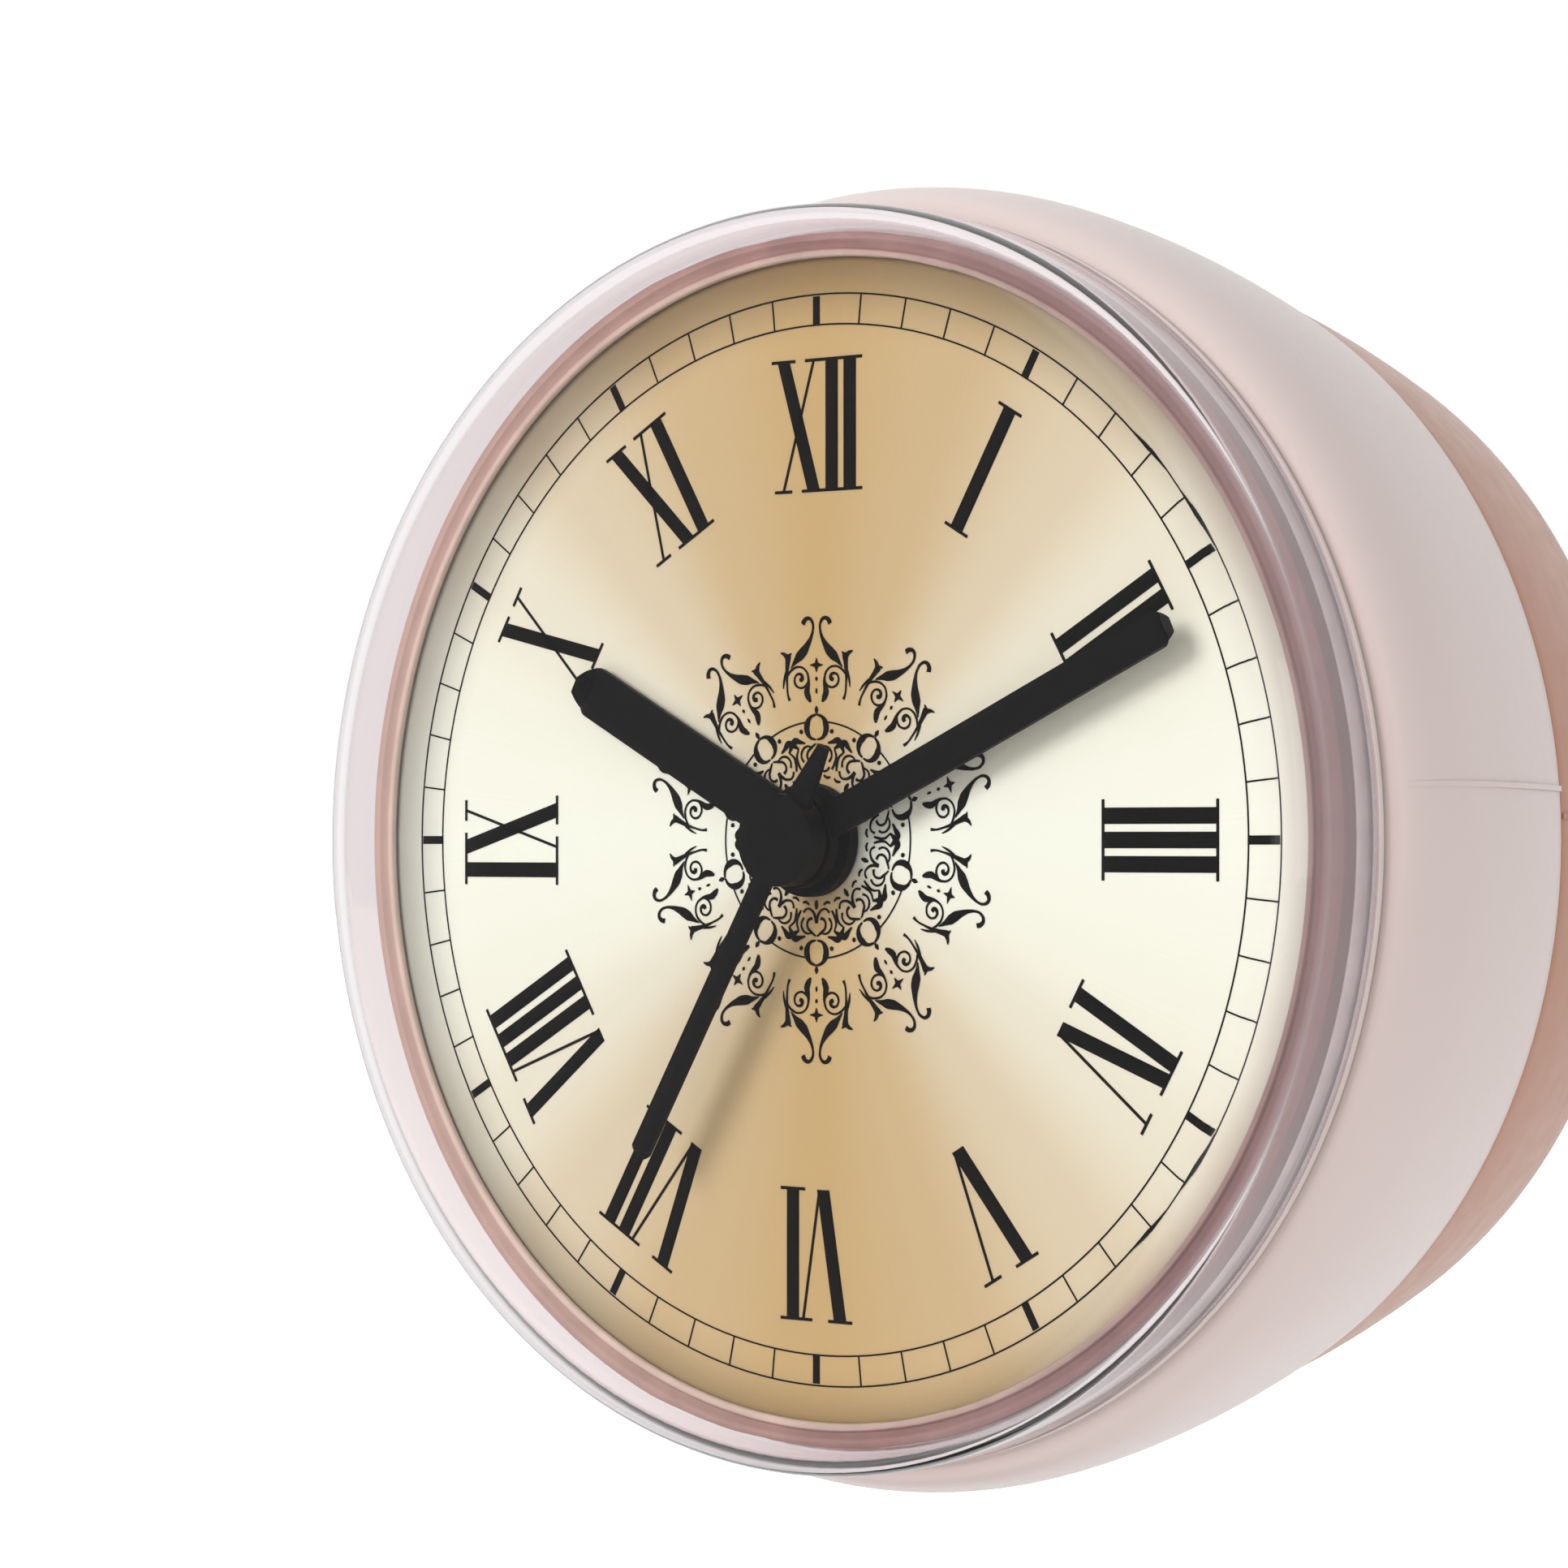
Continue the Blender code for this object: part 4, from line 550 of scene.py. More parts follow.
def sunray_lacquer():
    """Lacquered foil with a sunray finish: tan and cream sectors that meet in soft fans, the
    brushing's reflection painted into the colour, fine lines that run out from the centre, and a
    painted shade at the edge under the bezel."""
    made, tree, surface, place = start_finish(
        "sunray_lacquer", 0.36, Coat_Weight=0.12, Coat_Roughness=0.12
    )
    flat = put(tree, "Mapping", {"Vector": place, "Rotation": UPRIGHT})
    angle = put(tree, "TexGradient", {"Vector": flat}, gradient_type="RADIAL").outputs["Fac"]
    # The turn is folded: 0 at three and nine o'clock, 1 at twelve and six
    twice = put(tree, "Math", (angle, 2.0), operation="MULTIPLY")
    quarter = put(tree, "Math", (twice, 0.5), operation="PINGPONG")
    spread = put(tree, "Math", (quarter, 2.0), operation="MULTIPLY")
    # Painted reflection: the sunray brushing's bright bow tie is painted as cream towards three and
    # nine, and tan towards twelve and six
    painted_reflection_fans = put(tree, "ValToRGB", {0: spread})
    painted_reflection_fans.color_ramp.interpolation = "EASE"
    # How far round to twelve or six, and how much tan there is
    shares = ((0.0, 0.0), (0.11, 0.03), (0.22, 0.1), (0.38, 0.32), (0.55, 0.62), (0.78, 0.9),
              (1.0, 1.0))
    tan, painted_cream = list(colours().dial_tan), list(colours().dial_painted_reflection)
    stops = []
    for position, share in shares:
        stops.append((position, [t * share + c * (1 - share) for t, c in zip(tan, painted_cream)]))
    set_ramp(painted_reflection_fans, stops)
    # The fine lines are about 900 changes of a noise in a whole turn
    turn = put(tree, "Math", (angle, 900.0), operation="MULTIPLY")
    lines = put(tree, "TexNoise", {"W": turn, "Scale": 1.0, "Detail": 2.0}, noise_dimensions="1D")
    faint = put(tree, "MapRange", (lines, 0.0, 1.0, 0.975, 1.02))
    # The bezel's shade is painted into the dial's colour, deepest at the upper left, so its circle
    # lies off the centre
    shifted = put(tree, "VectorMath", (place, (-0.8 * MM, 0.0, 0.8 * MM)), operation="ADD")
    edge = put(
        tree, "MapRange", (from_axis(tree, shifted), 27.4 * MM, 32.4 * MM, 1.0, 0.5),
        interpolation_type="SMOOTHSTEP",
    )
    both = put(tree, "Math", (faint, edge), operation="MULTIPLY")
    rough = put(tree, "MapRange", (lines, 0.0, 1.0, 0.3, 0.44))
    bump = put(tree, "Bump", {"Height": lines, "Distance": 0.0008 * MM})
    tone = shade_over(tree, painted_reflection_fans, both)
    give(tree, surface, {"Base Color": tone, "Roughness": rough, "Normal": bump})
    return made


def pad_ink():
    """Pad-printed ink: dense black with a slight sheen and fine pinholes."""
    base = list(colours().ink)
    return grained(
        "pad_printing_ink", base, shade(base, 1.8), 0.8, 0.05, 0.0005, 0.42, 0.55,
        Specular_IOR_Level=0.15,
    )


def hand_paint():
    """Matte black paint on pressed aluminium: even, with a very fine tooth."""
    base = list(colours().hand)
    return grained(
        "matte_black_paint", base, shade(base, 1.25), 2.0, 0.06, 0.001, 0.5, 0.62,
        Specular_IOR_Level=0.15,
    )


def wound_copper():
    """Enamelled copper wire, wound in layers: a reddish gloss with a ridge for each turn."""
    made, tree, surface, place = start_finish("enamelled_copper_wire", 0.3, 0.6, Coat_Weight=0.5)
    wire_mm = 0.12
    # At a scale of 1 this texture has a band every twentieth of a full turn
    scale = FULL_TURN / 20 * per_metre(wire_mm)
    turns = put(
        tree, "TexWave", {"Vector": place, "Scale": scale, "Distortion": 0.4}, bands_direction="X"
    ).outputs["Fac"]
    tone = put(
        tree, "Mix", {"Factor": turns, FROM: linear("7E3D1E"), TO: linear("C06A3A")},
        data_type="RGBA",
    )
    bump = put(tree, "Bump", {"Height": turns, "Distance": 0.03 * MM})
    give(tree, surface, {"Base Color": tone.outputs[MIXED], "Normal": bump})
    return made


def drawn_metal(name, first, second, grain, low, high):
    """Rolled or drawn metal: long fine streaks along the strip."""
    made, tree, surface, place = start_finish(name, (low + high) / 2, 1.0)
    long_way = put(tree, "Mapping", {"Vector": place, "Scale": (0.05, 1.0, 1.0)})
    streaks = put(tree, "TexNoise", {"Vector": long_way, "Scale": per_metre(grain), "Detail": 4.0})
    tone = put(
        tree, "Mix", {"Factor": streaks, FROM: linear(first), TO: linear(second)}, data_type="RGBA"
    )
    rough = put(tree, "MapRange", (streaks, NOISE_LOW, NOISE_HIGH, low, high))
    bump = put(tree, "Bump", {"Height": streaks, "Distance": 0.002 * MM})
    give(tree, surface, {"Base Color": tone.outputs[MIXED], "Roughness": rough, "Normal": bump})
    return made


def hidden_finishes():
    """The finish of each solid that keeps its own mesh, by the node's name."""
    # Moulded ABS, white or black: an even satin skin, duller than the rose one
    white_abs = grained(
        "moulded_white_abs", linear("E9E8E3"), linear("DEDCD5"), 5.0, 0.4, 0.004, 0.4, 0.52
    )
    black_abs = grained(
        "moulded_black_abs", linear("242427"), linear("1B1B1E"), 4.0, 0.3, 0.004, 0.42, 0.58
    )
    # Moulded acetal: a waxy white with a soft sheen
    acetal = grained(
        "moulded_acetal", linear("F1EFE7"), linear("E5E1D4"), 3.0, 0.5, 0.002, 0.28, 0.38
    )
    # Sintered ferrite: dark grey and dull, with a gritty face
    ferrite = grained(
        "sintered_ferrite", linear("3C3B40"), linear("29282B"), 0.8, 0.08, 0.01, 0.6, 0.8
    )
    # Laminate under solder mask: a green gloss, slightly uneven
    laminate = grained(
        "solder_masked_laminate", linear("2F6E46"), linear("235A37"), 2.0, 0.25, 0.006, 0.25, 0.4,
        Coat_Weight=0.4,
    )
    # Rolled steel and spring bronze: bright, with fine streaks along the strip
    steel = drawn_metal("bright_rolled_steel", "C6C8CC", "AEB1B6", 0.12, 0.22, 0.34)
    bronze = drawn_metal("spring_bronze", "D3AC57", "B98F3C", 0.1, 0.25, 0.38)
    groups = (
        (sunray_lacquer(), "dial_plate"),
        (seal_silicone(), "case_o_ring"),
        (white_abs, "movement_holder train_bridge coil_bobbin setting_knob"),
        (black_abs, "movement_front_case movement_rear_case clock_chip"),
        (acetal, "second_wheel intermediate_wheel rotor_pinion third_wheel centre_wheel"),
        (acetal, "minute_arbor minute_wheel hour_wheel setting_gear"),
        (ferrite, "rotor_magnet"),
        (laminate, "circuit_board"),
        (steel, "holder_screw_1 holder_screw_2 holder_screw_3"),
        (steel, "movement_screw_1 movement_screw_2 movement_screw_3"),
        (steel, "second_arbor stator coil_core quartz_crystal button_cell"),
        (bronze, "clutch_spring cell_contact_plus cell_contact_minus"),
        (wound_copper(), "coil_winding"),
    )
    return {node: finish for finish, nodes in groups for node in nodes.split()}


# Case


def barrel_outside(height):
    """Outer radius of the barrel, which swells behind the lens and tapers to the rear."""
    front, end = top_of("barrel_shell"), foot_of("barrel_shell")
    # Radii at its two ends, how far back it is widest as a share of its length, how it tapers
    # from there, and how far its skin stays inside the solid's
    mouth, rear, peak, taper, inset = 34.3, 34.1, 0.28, 1.6, 0.01
    widest = radius_of("barrel_shell") - inset
    share = (front - height) / (front - end)
    if share < peak:
        rise = 1 - share / peak
        return mouth + (widest - mouth) * math.sqrt(max(0.0, 1 - rise * rise))
    fall = (share - peak) / (1 - peak)
    return widest - (widest - rear) * fall**taper


# Clock angles of the moulds' parting lines on the right-hand side
BARREL_SEAM = math.radians(85.7)
COVER_SEAM = math.radians(88.1)
# The quick thread's starts, and how far one climbs in a whole turn, in mm
THREAD_STARTS, THREAD_LEAD = 3, 9.0


def parting_line(line, angle):
    """Low ridge where two halves of a mould met, along points of radius and height."""
    piece = draw_line("parting_line", [at(radius, 0.0, height) for radius, height in line])
    bpy.ops.mesh.select_all(action="SELECT")
    width, thickness = sizes().seam_width, 0.12 * MM
    bpy.ops.mesh.extrude_region_move(TRANSFORM_OT_translate={"value": (0, 0, width)})
    bpy.ops.object.mode_set(mode="OBJECT")
    apply_modifier(piece, "SOLIDIFY", thickness=thickness, offset=0.0)
    edit(piece)
    tidy_mesh()
    bpy.ops.object.mode_set(mode="OBJECT")
    turn_about_axis(piece, angle - math.pi / 2)
    return settle(piece)


class CLOCK_OT_clear_cap(bpy.types.Operator):
    """Clear domed cap with its side skirt"""

    bl_idname = "clock.clear_cap"
    bl_label = "Clear cap"

    def execute(self, context):
        outer, crown, foot = radius_of("lens"), top_of("lens"), foot_of("lens")
        wall, corner, rise, edge = 0.8, 2.7, 1.8, 0.15
        flat = outer - corner
        front = crown - rise
        ball = (flat**2 + rise**2) / (2 * rise)
        spread = math.asin(flat / ball)
        dome = arc((0.0, crown - ball), ball, math.pi / 2, math.pi / 2 - spread, 12)
        section = dome + arc((flat, front - corner), corner, math.pi / 2, 0, 10)[1:]
        section += [(outer, foot + edge), (outer - edge, foot), (outer - wall, foot)]
        section += arc((flat, front - corner), corner - wall, 0, math.pi / 2, 8)
        section += [(r, h - wall) for r, h in dome[-2::-1]]
        piece = turned("clear_cap", section, sizes().round_steps, closed=False)
        hold(piece, clear_polycarbonate(), "case", "clear_polycarbonate", "lens")
        return {"FINISHED"}


class CLOCK_OT_seal_ring(bpy.types.Operator):
    """Flat silicone seal under the cap's skirt"""

    bl_idname = "clock.seal_ring"
    bl_label = "Seal ring"

    def execute(self, context):
        outer, top, foot = radius_of("lens_gasket"), top_of("lens_gasket"), foot_of("lens_gasket")
        inner, edge = outer - 0.8, 0.08
        section = [
            (inner, top - edge), (inner + edge, top), (outer - edge, top), (outer, top - edge),
            (outer, foot + edge), (outer - edge, foot), (inner + edge, foot), (inner, foot + edge),
        ]
        piece = turned("cap_seal", section, sizes().round_steps)
        hold(piece, seal_silicone(), "case", "seal_silicone", "lens_gasket")
        return {"FINISHED"}


class CLOCK_OT_bezel(bpy.types.Operator):
    """Rose ring round the dial, with a rounded lip, a trough and a side wall"""

    bl_idname = "clock.bezel"
    bl_label = "Bezel"

    def execute(self, context):
        outer, foot = radius_of("bezel_ring"), foot_of("bezel_ring")
        wall = 0.5
        inner = outer - wall
        section = [(OPENING, 0.0), (OPENING + 0.02, 0.16)]
        section += arc((OPENING + 0.19, 0.16), 0.17, math.pi, math.pi / 2, 4)[1:]
        section += [(OPENING + 0.42, 0.31), (OPENING + 0.55, 0.13), (OPENING + 0.7, 0.1),
                    (inner - 0.22, 0.1), (inner - 0.1, 0.16), (inner, 0.25)]
        section += [(outer - 0.12, 0.25), (outer - 0.03, 0.22), (outer, 0.13), (outer, foot + 0.05),
                    (outer - 0.05, foot), (inner, foot), (inner, -0.02), (inner - 0.1, 0.0)]
        piece = turned("bezel", section, sizes().round_steps)
        hold(piece, bezel_abs(), "case", "rose_plastic", "bezel_ring")
        return {"FINISHED"}


class CLOCK_OT_barrel(bpy.types.Operator):
    """Pale swelling barrel with its front flange, socket and mould seams"""

    bl_idname = "clock.barrel"
    bl_label = "Barrel"

    def execute(self, context):
        front, end = top_of("barrel_shell"), foot_of("barrel_shell")
        steps, lip, wall, lead_in = 28, 0.3, 1.5, 0.2
        # The skin curves most near the front, so its points lie closer together there
        crowding = 1.5
        outside = []
        for i in range(steps + 1):
            height = front - (front - end - lip) * (i / steps) ** crowding
            outside.append((barrel_outside(height), height))
        rear = barrel_outside(end)
        corner = arc((rear - lip, end + lip), lip, 0, -math.pi / 2, 4)[1:]
        socket, socket_front = 32.2, end + 4.8
        groove, groove_low, groove_high = 33.1, -18.7, -17.1
        inside = [(socket + lead_in, end), (socket, end + lead_in), (socket, groove_low),
                  (groove, groove_low), (groove, groove_high), (socket, groove_high),
                  (socket, socket_front)]
        flange_opening, flange_back, inner_steps = 27.45, front - 1.6, 8
        for i in range(inner_steps + 1):
            height = socket_front + wall + (flange_back - socket_front - wall) * i / inner_steps
            inside.append((barrel_outside(height) - wall, height))
        inside += [(flange_opening, flange_back), (flange_opening, front)]
        body = turned("barrel", outside + corner + inside, sizes().round_steps)
        # The seam starts a few points back, sunk, and rises out of the skin towards the rear
        first, sunk, rises, rise_steps, proud = 3, 0.05, 0.15, 18, 0.12
        line = []
        for i, (radius, height) in enumerate(outside[first:]):
            line.append((radius - sunk + rises * min(1.0, i / rise_steps), height))
        line += [(rear + proud, end + 0.5), (rear + proud, end + lip)]
        seams = [parting_line(line, turn) for turn in (BARREL_SEAM, BARREL_SEAM + math.pi)]
        piece = joined("barrel", [body] + seams)
        hold(piece, barrel_polypropylene(), "case", "pale_plastic", "barrel_shell")
        return {"FINISHED"}


class CLOCK_OT_rear_cover(bpy.types.Operator):
    """Rose rear cover that narrows to a rounded back, with its threaded neck"""

    bl_idname = "clock.rear_cover"
    bl_label = "Rear cover"

    def execute(self, context):
        top, back = top_of("rear_shell"), foot_of("rear_shell")
        gap, neck, edge, wall, corner, back_radius = 0.3, 31.9, 33.8, 1.6, 4.6, 31.5
        face = foot_of("barrel_shell") - gap
        neck_edge, rim_edge, hole, step = 0.15, 0.25, 3.0, 0.3
        lean = math.radians(14.3)
        side_end = back + corner * (1 - math.sin(lean))
        power = math.tan(lean) * (face - side_end) / (edge - back_radius)
        middle = (back_radius - corner * math.cos(lean), back + corner)
        section = [(neck - neck_edge, top), (neck, top - neck_edge), (neck, face)]
        section += arc((edge - rim_edge, face - rim_edge), rim_edge, math.pi / 2, 0, 4)
        steps = 14
        for i in range(1, steps + 1):
            share = i / steps
            height = face + (side_end - face) * share
            section.append((edge - (edge - back_radius) * share**power, height))
        section += arc(middle, corner, -lean, -math.pi / 2, 12)[1:]
        section += [(hole, back), (hole, back + wall)]
        section += arc(middle, corner - wall, -math.pi / 2, -lean, 8)
        section += [(edge - wall - step, face - 2 * wall), (neck - wall, face), (neck - wall, top)]
        cover = turned("rear_cover", section, sizes().round_steps)
        threads = [self.thread(neck, face, start) for start in range(THREAD_STARTS)]
        # The seam stands out from the rim and runs into the skin behind it
        proud, sunk = 0.03, 0.09
        line = [(edge + proud, face - 0.2), (edge + proud, face - 0.9), (edge - sunk, face - 1.6)]
        seams = [parting_line(line, turn) for turn in (COVER_SEAM, COVER_SEAM + math.pi)]
        piece = joined("rear_cover", [cover] + threads + seams)
        hold(piece, rose_abs(), "back", "rose_plastic", "rear_shell")
        return {"FINISHED"}

    def thread(self, neck, face, start):
        """One start of the quick thread: a low ridge that climbs round part of the neck."""
        span, steps, lowest = 110, 36, face + 4.2
        # Half widths of its foot and crest, and how far its foot is sunk in the neck
        foot, flat, sunk = 0.45, 0.15, 0.1
        low, crest = neck - sunk, neck + sizes().thread_height / MM
        section = [(low, -foot), (crest, -flat), (crest, flat), (low, foot)]
        piece = draw_line("thread", [at(0, r, lowest + h) for r, h in section])
        join_ends(piece)
        bpy.ops.mesh.select_all(action="SELECT")
        bpy.ops.mesh.edge_face_add()
        step_turn = math.radians(span) / steps
        step_back = Vector((0, THREAD_LEAD * MM * step_turn / FULL_TURN, 0))
        for i in range(steps):
            bpy.ops.mesh.extrude_region_move(TRANSFORM_OT_translate={"value": step_back})
            bpy.ops.transform.rotate(value=step_turn, orient_axis="Y", center_override=(0, 0, 0))
        tidy_mesh()
        bpy.ops.object.mode_set(mode="OBJECT")
        turn_about_axis(piece, FULL_TURN * start / THREAD_STARTS)
        return settle(piece)


class CLOCK_OT_suction_cup(bpy.types.Operator):
    """Soft suction cup with its stud, hub, flared skirt and hollow"""

    bl_idname = "clock.suction_cup"
    bl_label = "Suction cup"

    def execute(self, context):
        wall, top = foot_of("suction_cup"), top_of("suction_cup")
        rim, hub, stud, head, cup = radius_of("suction_cup"), 7.0, 2.8, 4.4, 7.5
        hub_top, head_foot = wall + cup, top - 2.6
        head_round, head_edge, hub_round, rim_edge = 1.5, 0.2, 0.4, 0.12
        section = [(0.0, top)]
        section += arc((head - head_round, top - head_round), head_round, math.pi / 2, 0, 8)
        section += [(head, head_foot + head_edge), (head - head_edge, head_foot),
                    (stud, head_foot), (stud, hub_top)]
        section += arc((hub - hub_round, hub_top - hub_round), hub_round, math.pi / 2, 0, 4)
        steps, hub_back, skirt, flare = 16, hub_top - 0.3 * cup, 0.5, 1.35
        for i in range(steps + 1):
            share = i / steps
            drop = (hub_back - wall) * share**flare
            section.append((hub + (rim - rim_edge - hub) * share, hub_back - drop + skirt))
        section += [(rim, wall + 0.3), (rim, wall + rim_edge), (rim - rim_edge, wall)]
        mouth, deep, bowl = rim - 2.0, 4.9, 2.4
        for i in range(steps + 1):
            radius = mouth * (1 - i / steps)
            section.append((radius, wall + deep * (1 - (radius / mouth) ** bowl)))
        piece = turned("wall_suction_cup", section, sizes().round_steps, closed=False)
        hold(piece, soft_pvc(), "back", "soft_pvc", "suction_cup")
        return {"FINISHED"}


# Hands

HANDS = (
    # name, node, body, clock angle, blade reach, blade width, end rounding, hub radius
    ("hour_hand_painted", "hour_hand", "hours", 298.1, 18.5, 2.9, 1.0, 3.07),
    ("minute_hand_painted", "minute_hand", "minutes", 65.6, 26.3, 1.95, 0.6, 2.6),
    ("second_hand_painted", "second_hand", "seconds", 210.3, 20.2, 1.25, 0.5, 2.5),
)
BLADE_THICKNESS = 0.35
# The second hand's tail: its reach, its width at the hub, and what is left of it at its end
TAIL_REACH, TAIL_WIDTH, TAIL_TAPER = 5.75, 2.4, 0.26


class CLOCK_OT_hands(bpy.types.Operator):
    """Three stick hands with their hubs"""

    bl_idname = "clock.hands"
    bl_label = "Hands"

    def execute(self, context):
        paint = hand_paint()
        for name, node, body, angle, reach, width, rounding, hub_radius in HANDS:
            low, high = foot_of(node), top_of(node)
            middle = (low + high) / 2
            piece = name_piece(self.hub(low, high, hub_radius), name)
            fuse(piece, self.blade(reach, width, rounding, middle))
            if node == "second_hand":
                fuse(piece, self.tail(middle))
            turn_about_axis(piece, math.radians(angle))
            apply_modifier(
                piece, "BEVEL", width=sizes().hand_edge, segments=3, limit_method="ANGLE",
                angle_limit=math.radians(40),
            )
            settle(piece)
            apply_modifier(piece, "WEIGHTED_NORMAL", keep_sharp=True)
            hold(piece, paint, body, "hand_black", node)
        return {"FINISHED"}

    def hub(self, low, high, radius):
        """A round hub, whose edge the bevel rounds later."""
        return settle(added(
            bpy.ops.mesh.primitive_cylinder_add, vertices=72, radius=radius * MM,
            depth=(high - low) * MM, location=at(0, 0, (low + high) / 2), rotation=UPRIGHT,
        ))

    def strip(self, width, start, end, middle):
        """A flat strip of sheet metal between two distances from the centre towards twelve."""
        piece = added(
            bpy.ops.mesh.primitive_cube_add, size=1, location=at(0, (start + end) / 2, middle)
        )
        piece.scale = (width * MM, BLADE_THICKNESS * MM, (end - start) * MM)
        return settle(piece)

    def blade(self, reach, width, rounding, middle):
        """A straight blade towards twelve, with its far corners rounded."""
        piece = self.strip(width, 0, reach, middle)

        def far_corner(edge):
            a, b = (v.co for v in edge.verts)
            return abs(a.x - b.x) < MERGE and abs(a.z - b.z) < MERGE and a.z > reach / 2 * MM

        select_only(piece, "edges", far_corner)
        bpy.ops.mesh.bevel(offset=rounding * MM, segments=10, affect="EDGES")
        bpy.ops.object.mode_set(mode="OBJECT")
        return piece

    def tail(self, middle):
        """The second hand's counterweight, which narrows away from the hub."""
        piece = self.strip(TAIL_WIDTH, -TAIL_REACH, 0, middle)
        select_only(piece, "verts", lambda v: v.co.z < -TAIL_REACH / 2 * MM)
        bpy.ops.transform.resize(
            value=(TAIL_TAPER, 1, 1), center_override=at(0, -TAIL_REACH, middle)
        )
        bpy.ops.object.mode_set(mode="OBJECT")
        return piece


def fuse(piece, other):
    """Fuses another piece into this one and removes the other."""
    apply_modifier(piece, "BOOLEAN", object=other, operation="UNION", solver="EXACT")
    bpy.data.objects.remove(other, do_unlink=True)


# Printing on the dial


def flat_bar(foot, head, width, height):
    """An upright or leaning bar of ink from one point to another, in the dial's millimetres.

    Its ends lie level, as a leaning stroke's do between its serifs.
    """
    middle = (foot[1] + head[1]) / 2
    piece = added(
        bpy.ops.mesh.primitive_plane_add, size=1, location=at(foot[0], middle, height),
        rotation=UPRIGHT,
    )
    piece.scale = (width * MM, (head[1] - foot[1]) * MM, 1)
    settle(piece)
    select_only(piece, "verts", lambda v: v.co.z > middle * MM)
    bpy.ops.transform.translate(value=((head[0] - foot[0]) * MM, 0, 0))
    bpy.ops.object.mode_set(mode="OBJECT")
    return piece


def thicken_ink(piece):
    """Gives flat printing its body, from the dial's face outwards."""
    apply_modifier(piece, "SOLIDIFY", thickness=sizes().ink, offset=0.0)
    return settle(piece)


NUMERALS = ("XII", "I", "II", "III", "IV", "V", "VI", "VII", "VIII", "IX", "X", "XI")
# How far a letter's outer strokes, and two letters' neighbouring strokes, lie apart in mm
LETTER_SPAN = {"V": 2.55, "X": 2.1}
LETTER_GAPS = {"II": 1.24, "IV": 0.95, "IX": 1.3, "VI": 0.72, "XI": 1.24}
# How far a serif reaches past a thick stroke's side, or from a thin stroke's middle, in mm
SERIF_I, SERIF_THICK, SERIF_THIN_V, SERIF_THIN_X = 0.43, 0.4, 0.62, 0.6
# Where a V's strokes meet, as a share of its width, and how far beside that its thin stroke
# stands, as a share of the thick one
V_POINT, V_BESIDE = 0.46, 0.3
# Printing that crosses other printing lies this little higher, in mm, so that none flickers
SERIF_ABOVE, TICK_ABOVE = 0.004, 0.003


class CLOCK_OT_numerals(bpy.types.Operator):
    """Twelve printed Roman numerals, each with its foot towards the centre"""

    bl_idname = "clock.numerals"
    bl_label = "Numerals"

    def execute(self, context):
        made = []
        for hour, letters in enumerate(NUMERALS):
            numeral = self.numeral(letters)
            turn_about_axis(numeral, FULL_TURN * hour / 12)
            made.append(numeral)
        piece = joined("hour_numerals", made)
        thicken_ink(piece)
        hold(piece, pad_ink(), "case", "hand_black")
        return {"FINISHED"}

    def numeral(self, letters):
        kept = sizes()
        middle = kept.numeral_middle / MM
        half = kept.numeral_height / MM / 2
        thick, thin = kept.stem / MM, kept.hairline / MM
        low, high = middle - half, middle + half
        rise = -DIAL_RECESS + kept.ink / MM / 2
        places, x = [], 0.0
        for i, letter in enumerate(letters):
            places.append(x)
            x += LETTER_SPAN.get(letter, 0.0)
            if i + 1 < len(letters):
                x += LETTER_GAPS[letter + letters[i + 1]]
        shift = x / 2
        bars, tops, feet = [], [], []
        for letter, place in zip(letters, places):
            left = place - shift
            right = left + LETTER_SPAN.get(letter, 0.0)
            if letter == "I":
                bars.append(flat_bar((left, low), (left, high), thick, rise))
                tops.append((left, SERIF_I + thick / 2))
                feet.append((left, SERIF_I + thick / 2))
            elif letter == "V":
                point = left + V_POINT * (right - left)
                bars.append(flat_bar((point, low), (left, high), thick, rise))
                bars.append(flat_bar((point + V_BESIDE * thick, low), (right, high), thin, rise))
                tops += [(left, SERIF_THICK + thick / 2), (right, SERIF_THIN_V)]
            else:
                bars.append(flat_bar((right, low), (left, high), thick, rise))
                bars.append(flat_bar((left, low), (right, high), thin, rise))
                tops += [(left, SERIF_THICK + thick / 2), (right, SERIF_THIN_X)]
                feet += [(right, SERIF_THICK + thick / 2), (left, SERIF_THIN_X)]
        for ends, level in ((tops, high), (feet, low)):
            for left, right in self.merged(ends):
                bars.append(self.serif(left, right, level, thin, rise))
        return joined("numeral_" + letters, bars)

    def merged(self, ends):
        """Serifs as left and right ends, with those that overlap made one."""
        spans = sorted((x - reach, x + reach) for x, reach in ends)
        out = []
        for left, right in spans:
            if out and left < out[-1][1]:
                out[-1] = (out[-1][0], max(right, out[-1][1]))
            else:
                out.append((left, right))
        return out

    def serif(self, left, right, level, thin, rise):
        middle = (left + right) / 2
        return flat_bar(
            (middle, level - thin / 2), (middle, level + thin / 2), right - left, rise + SERIF_ABOVE
        )


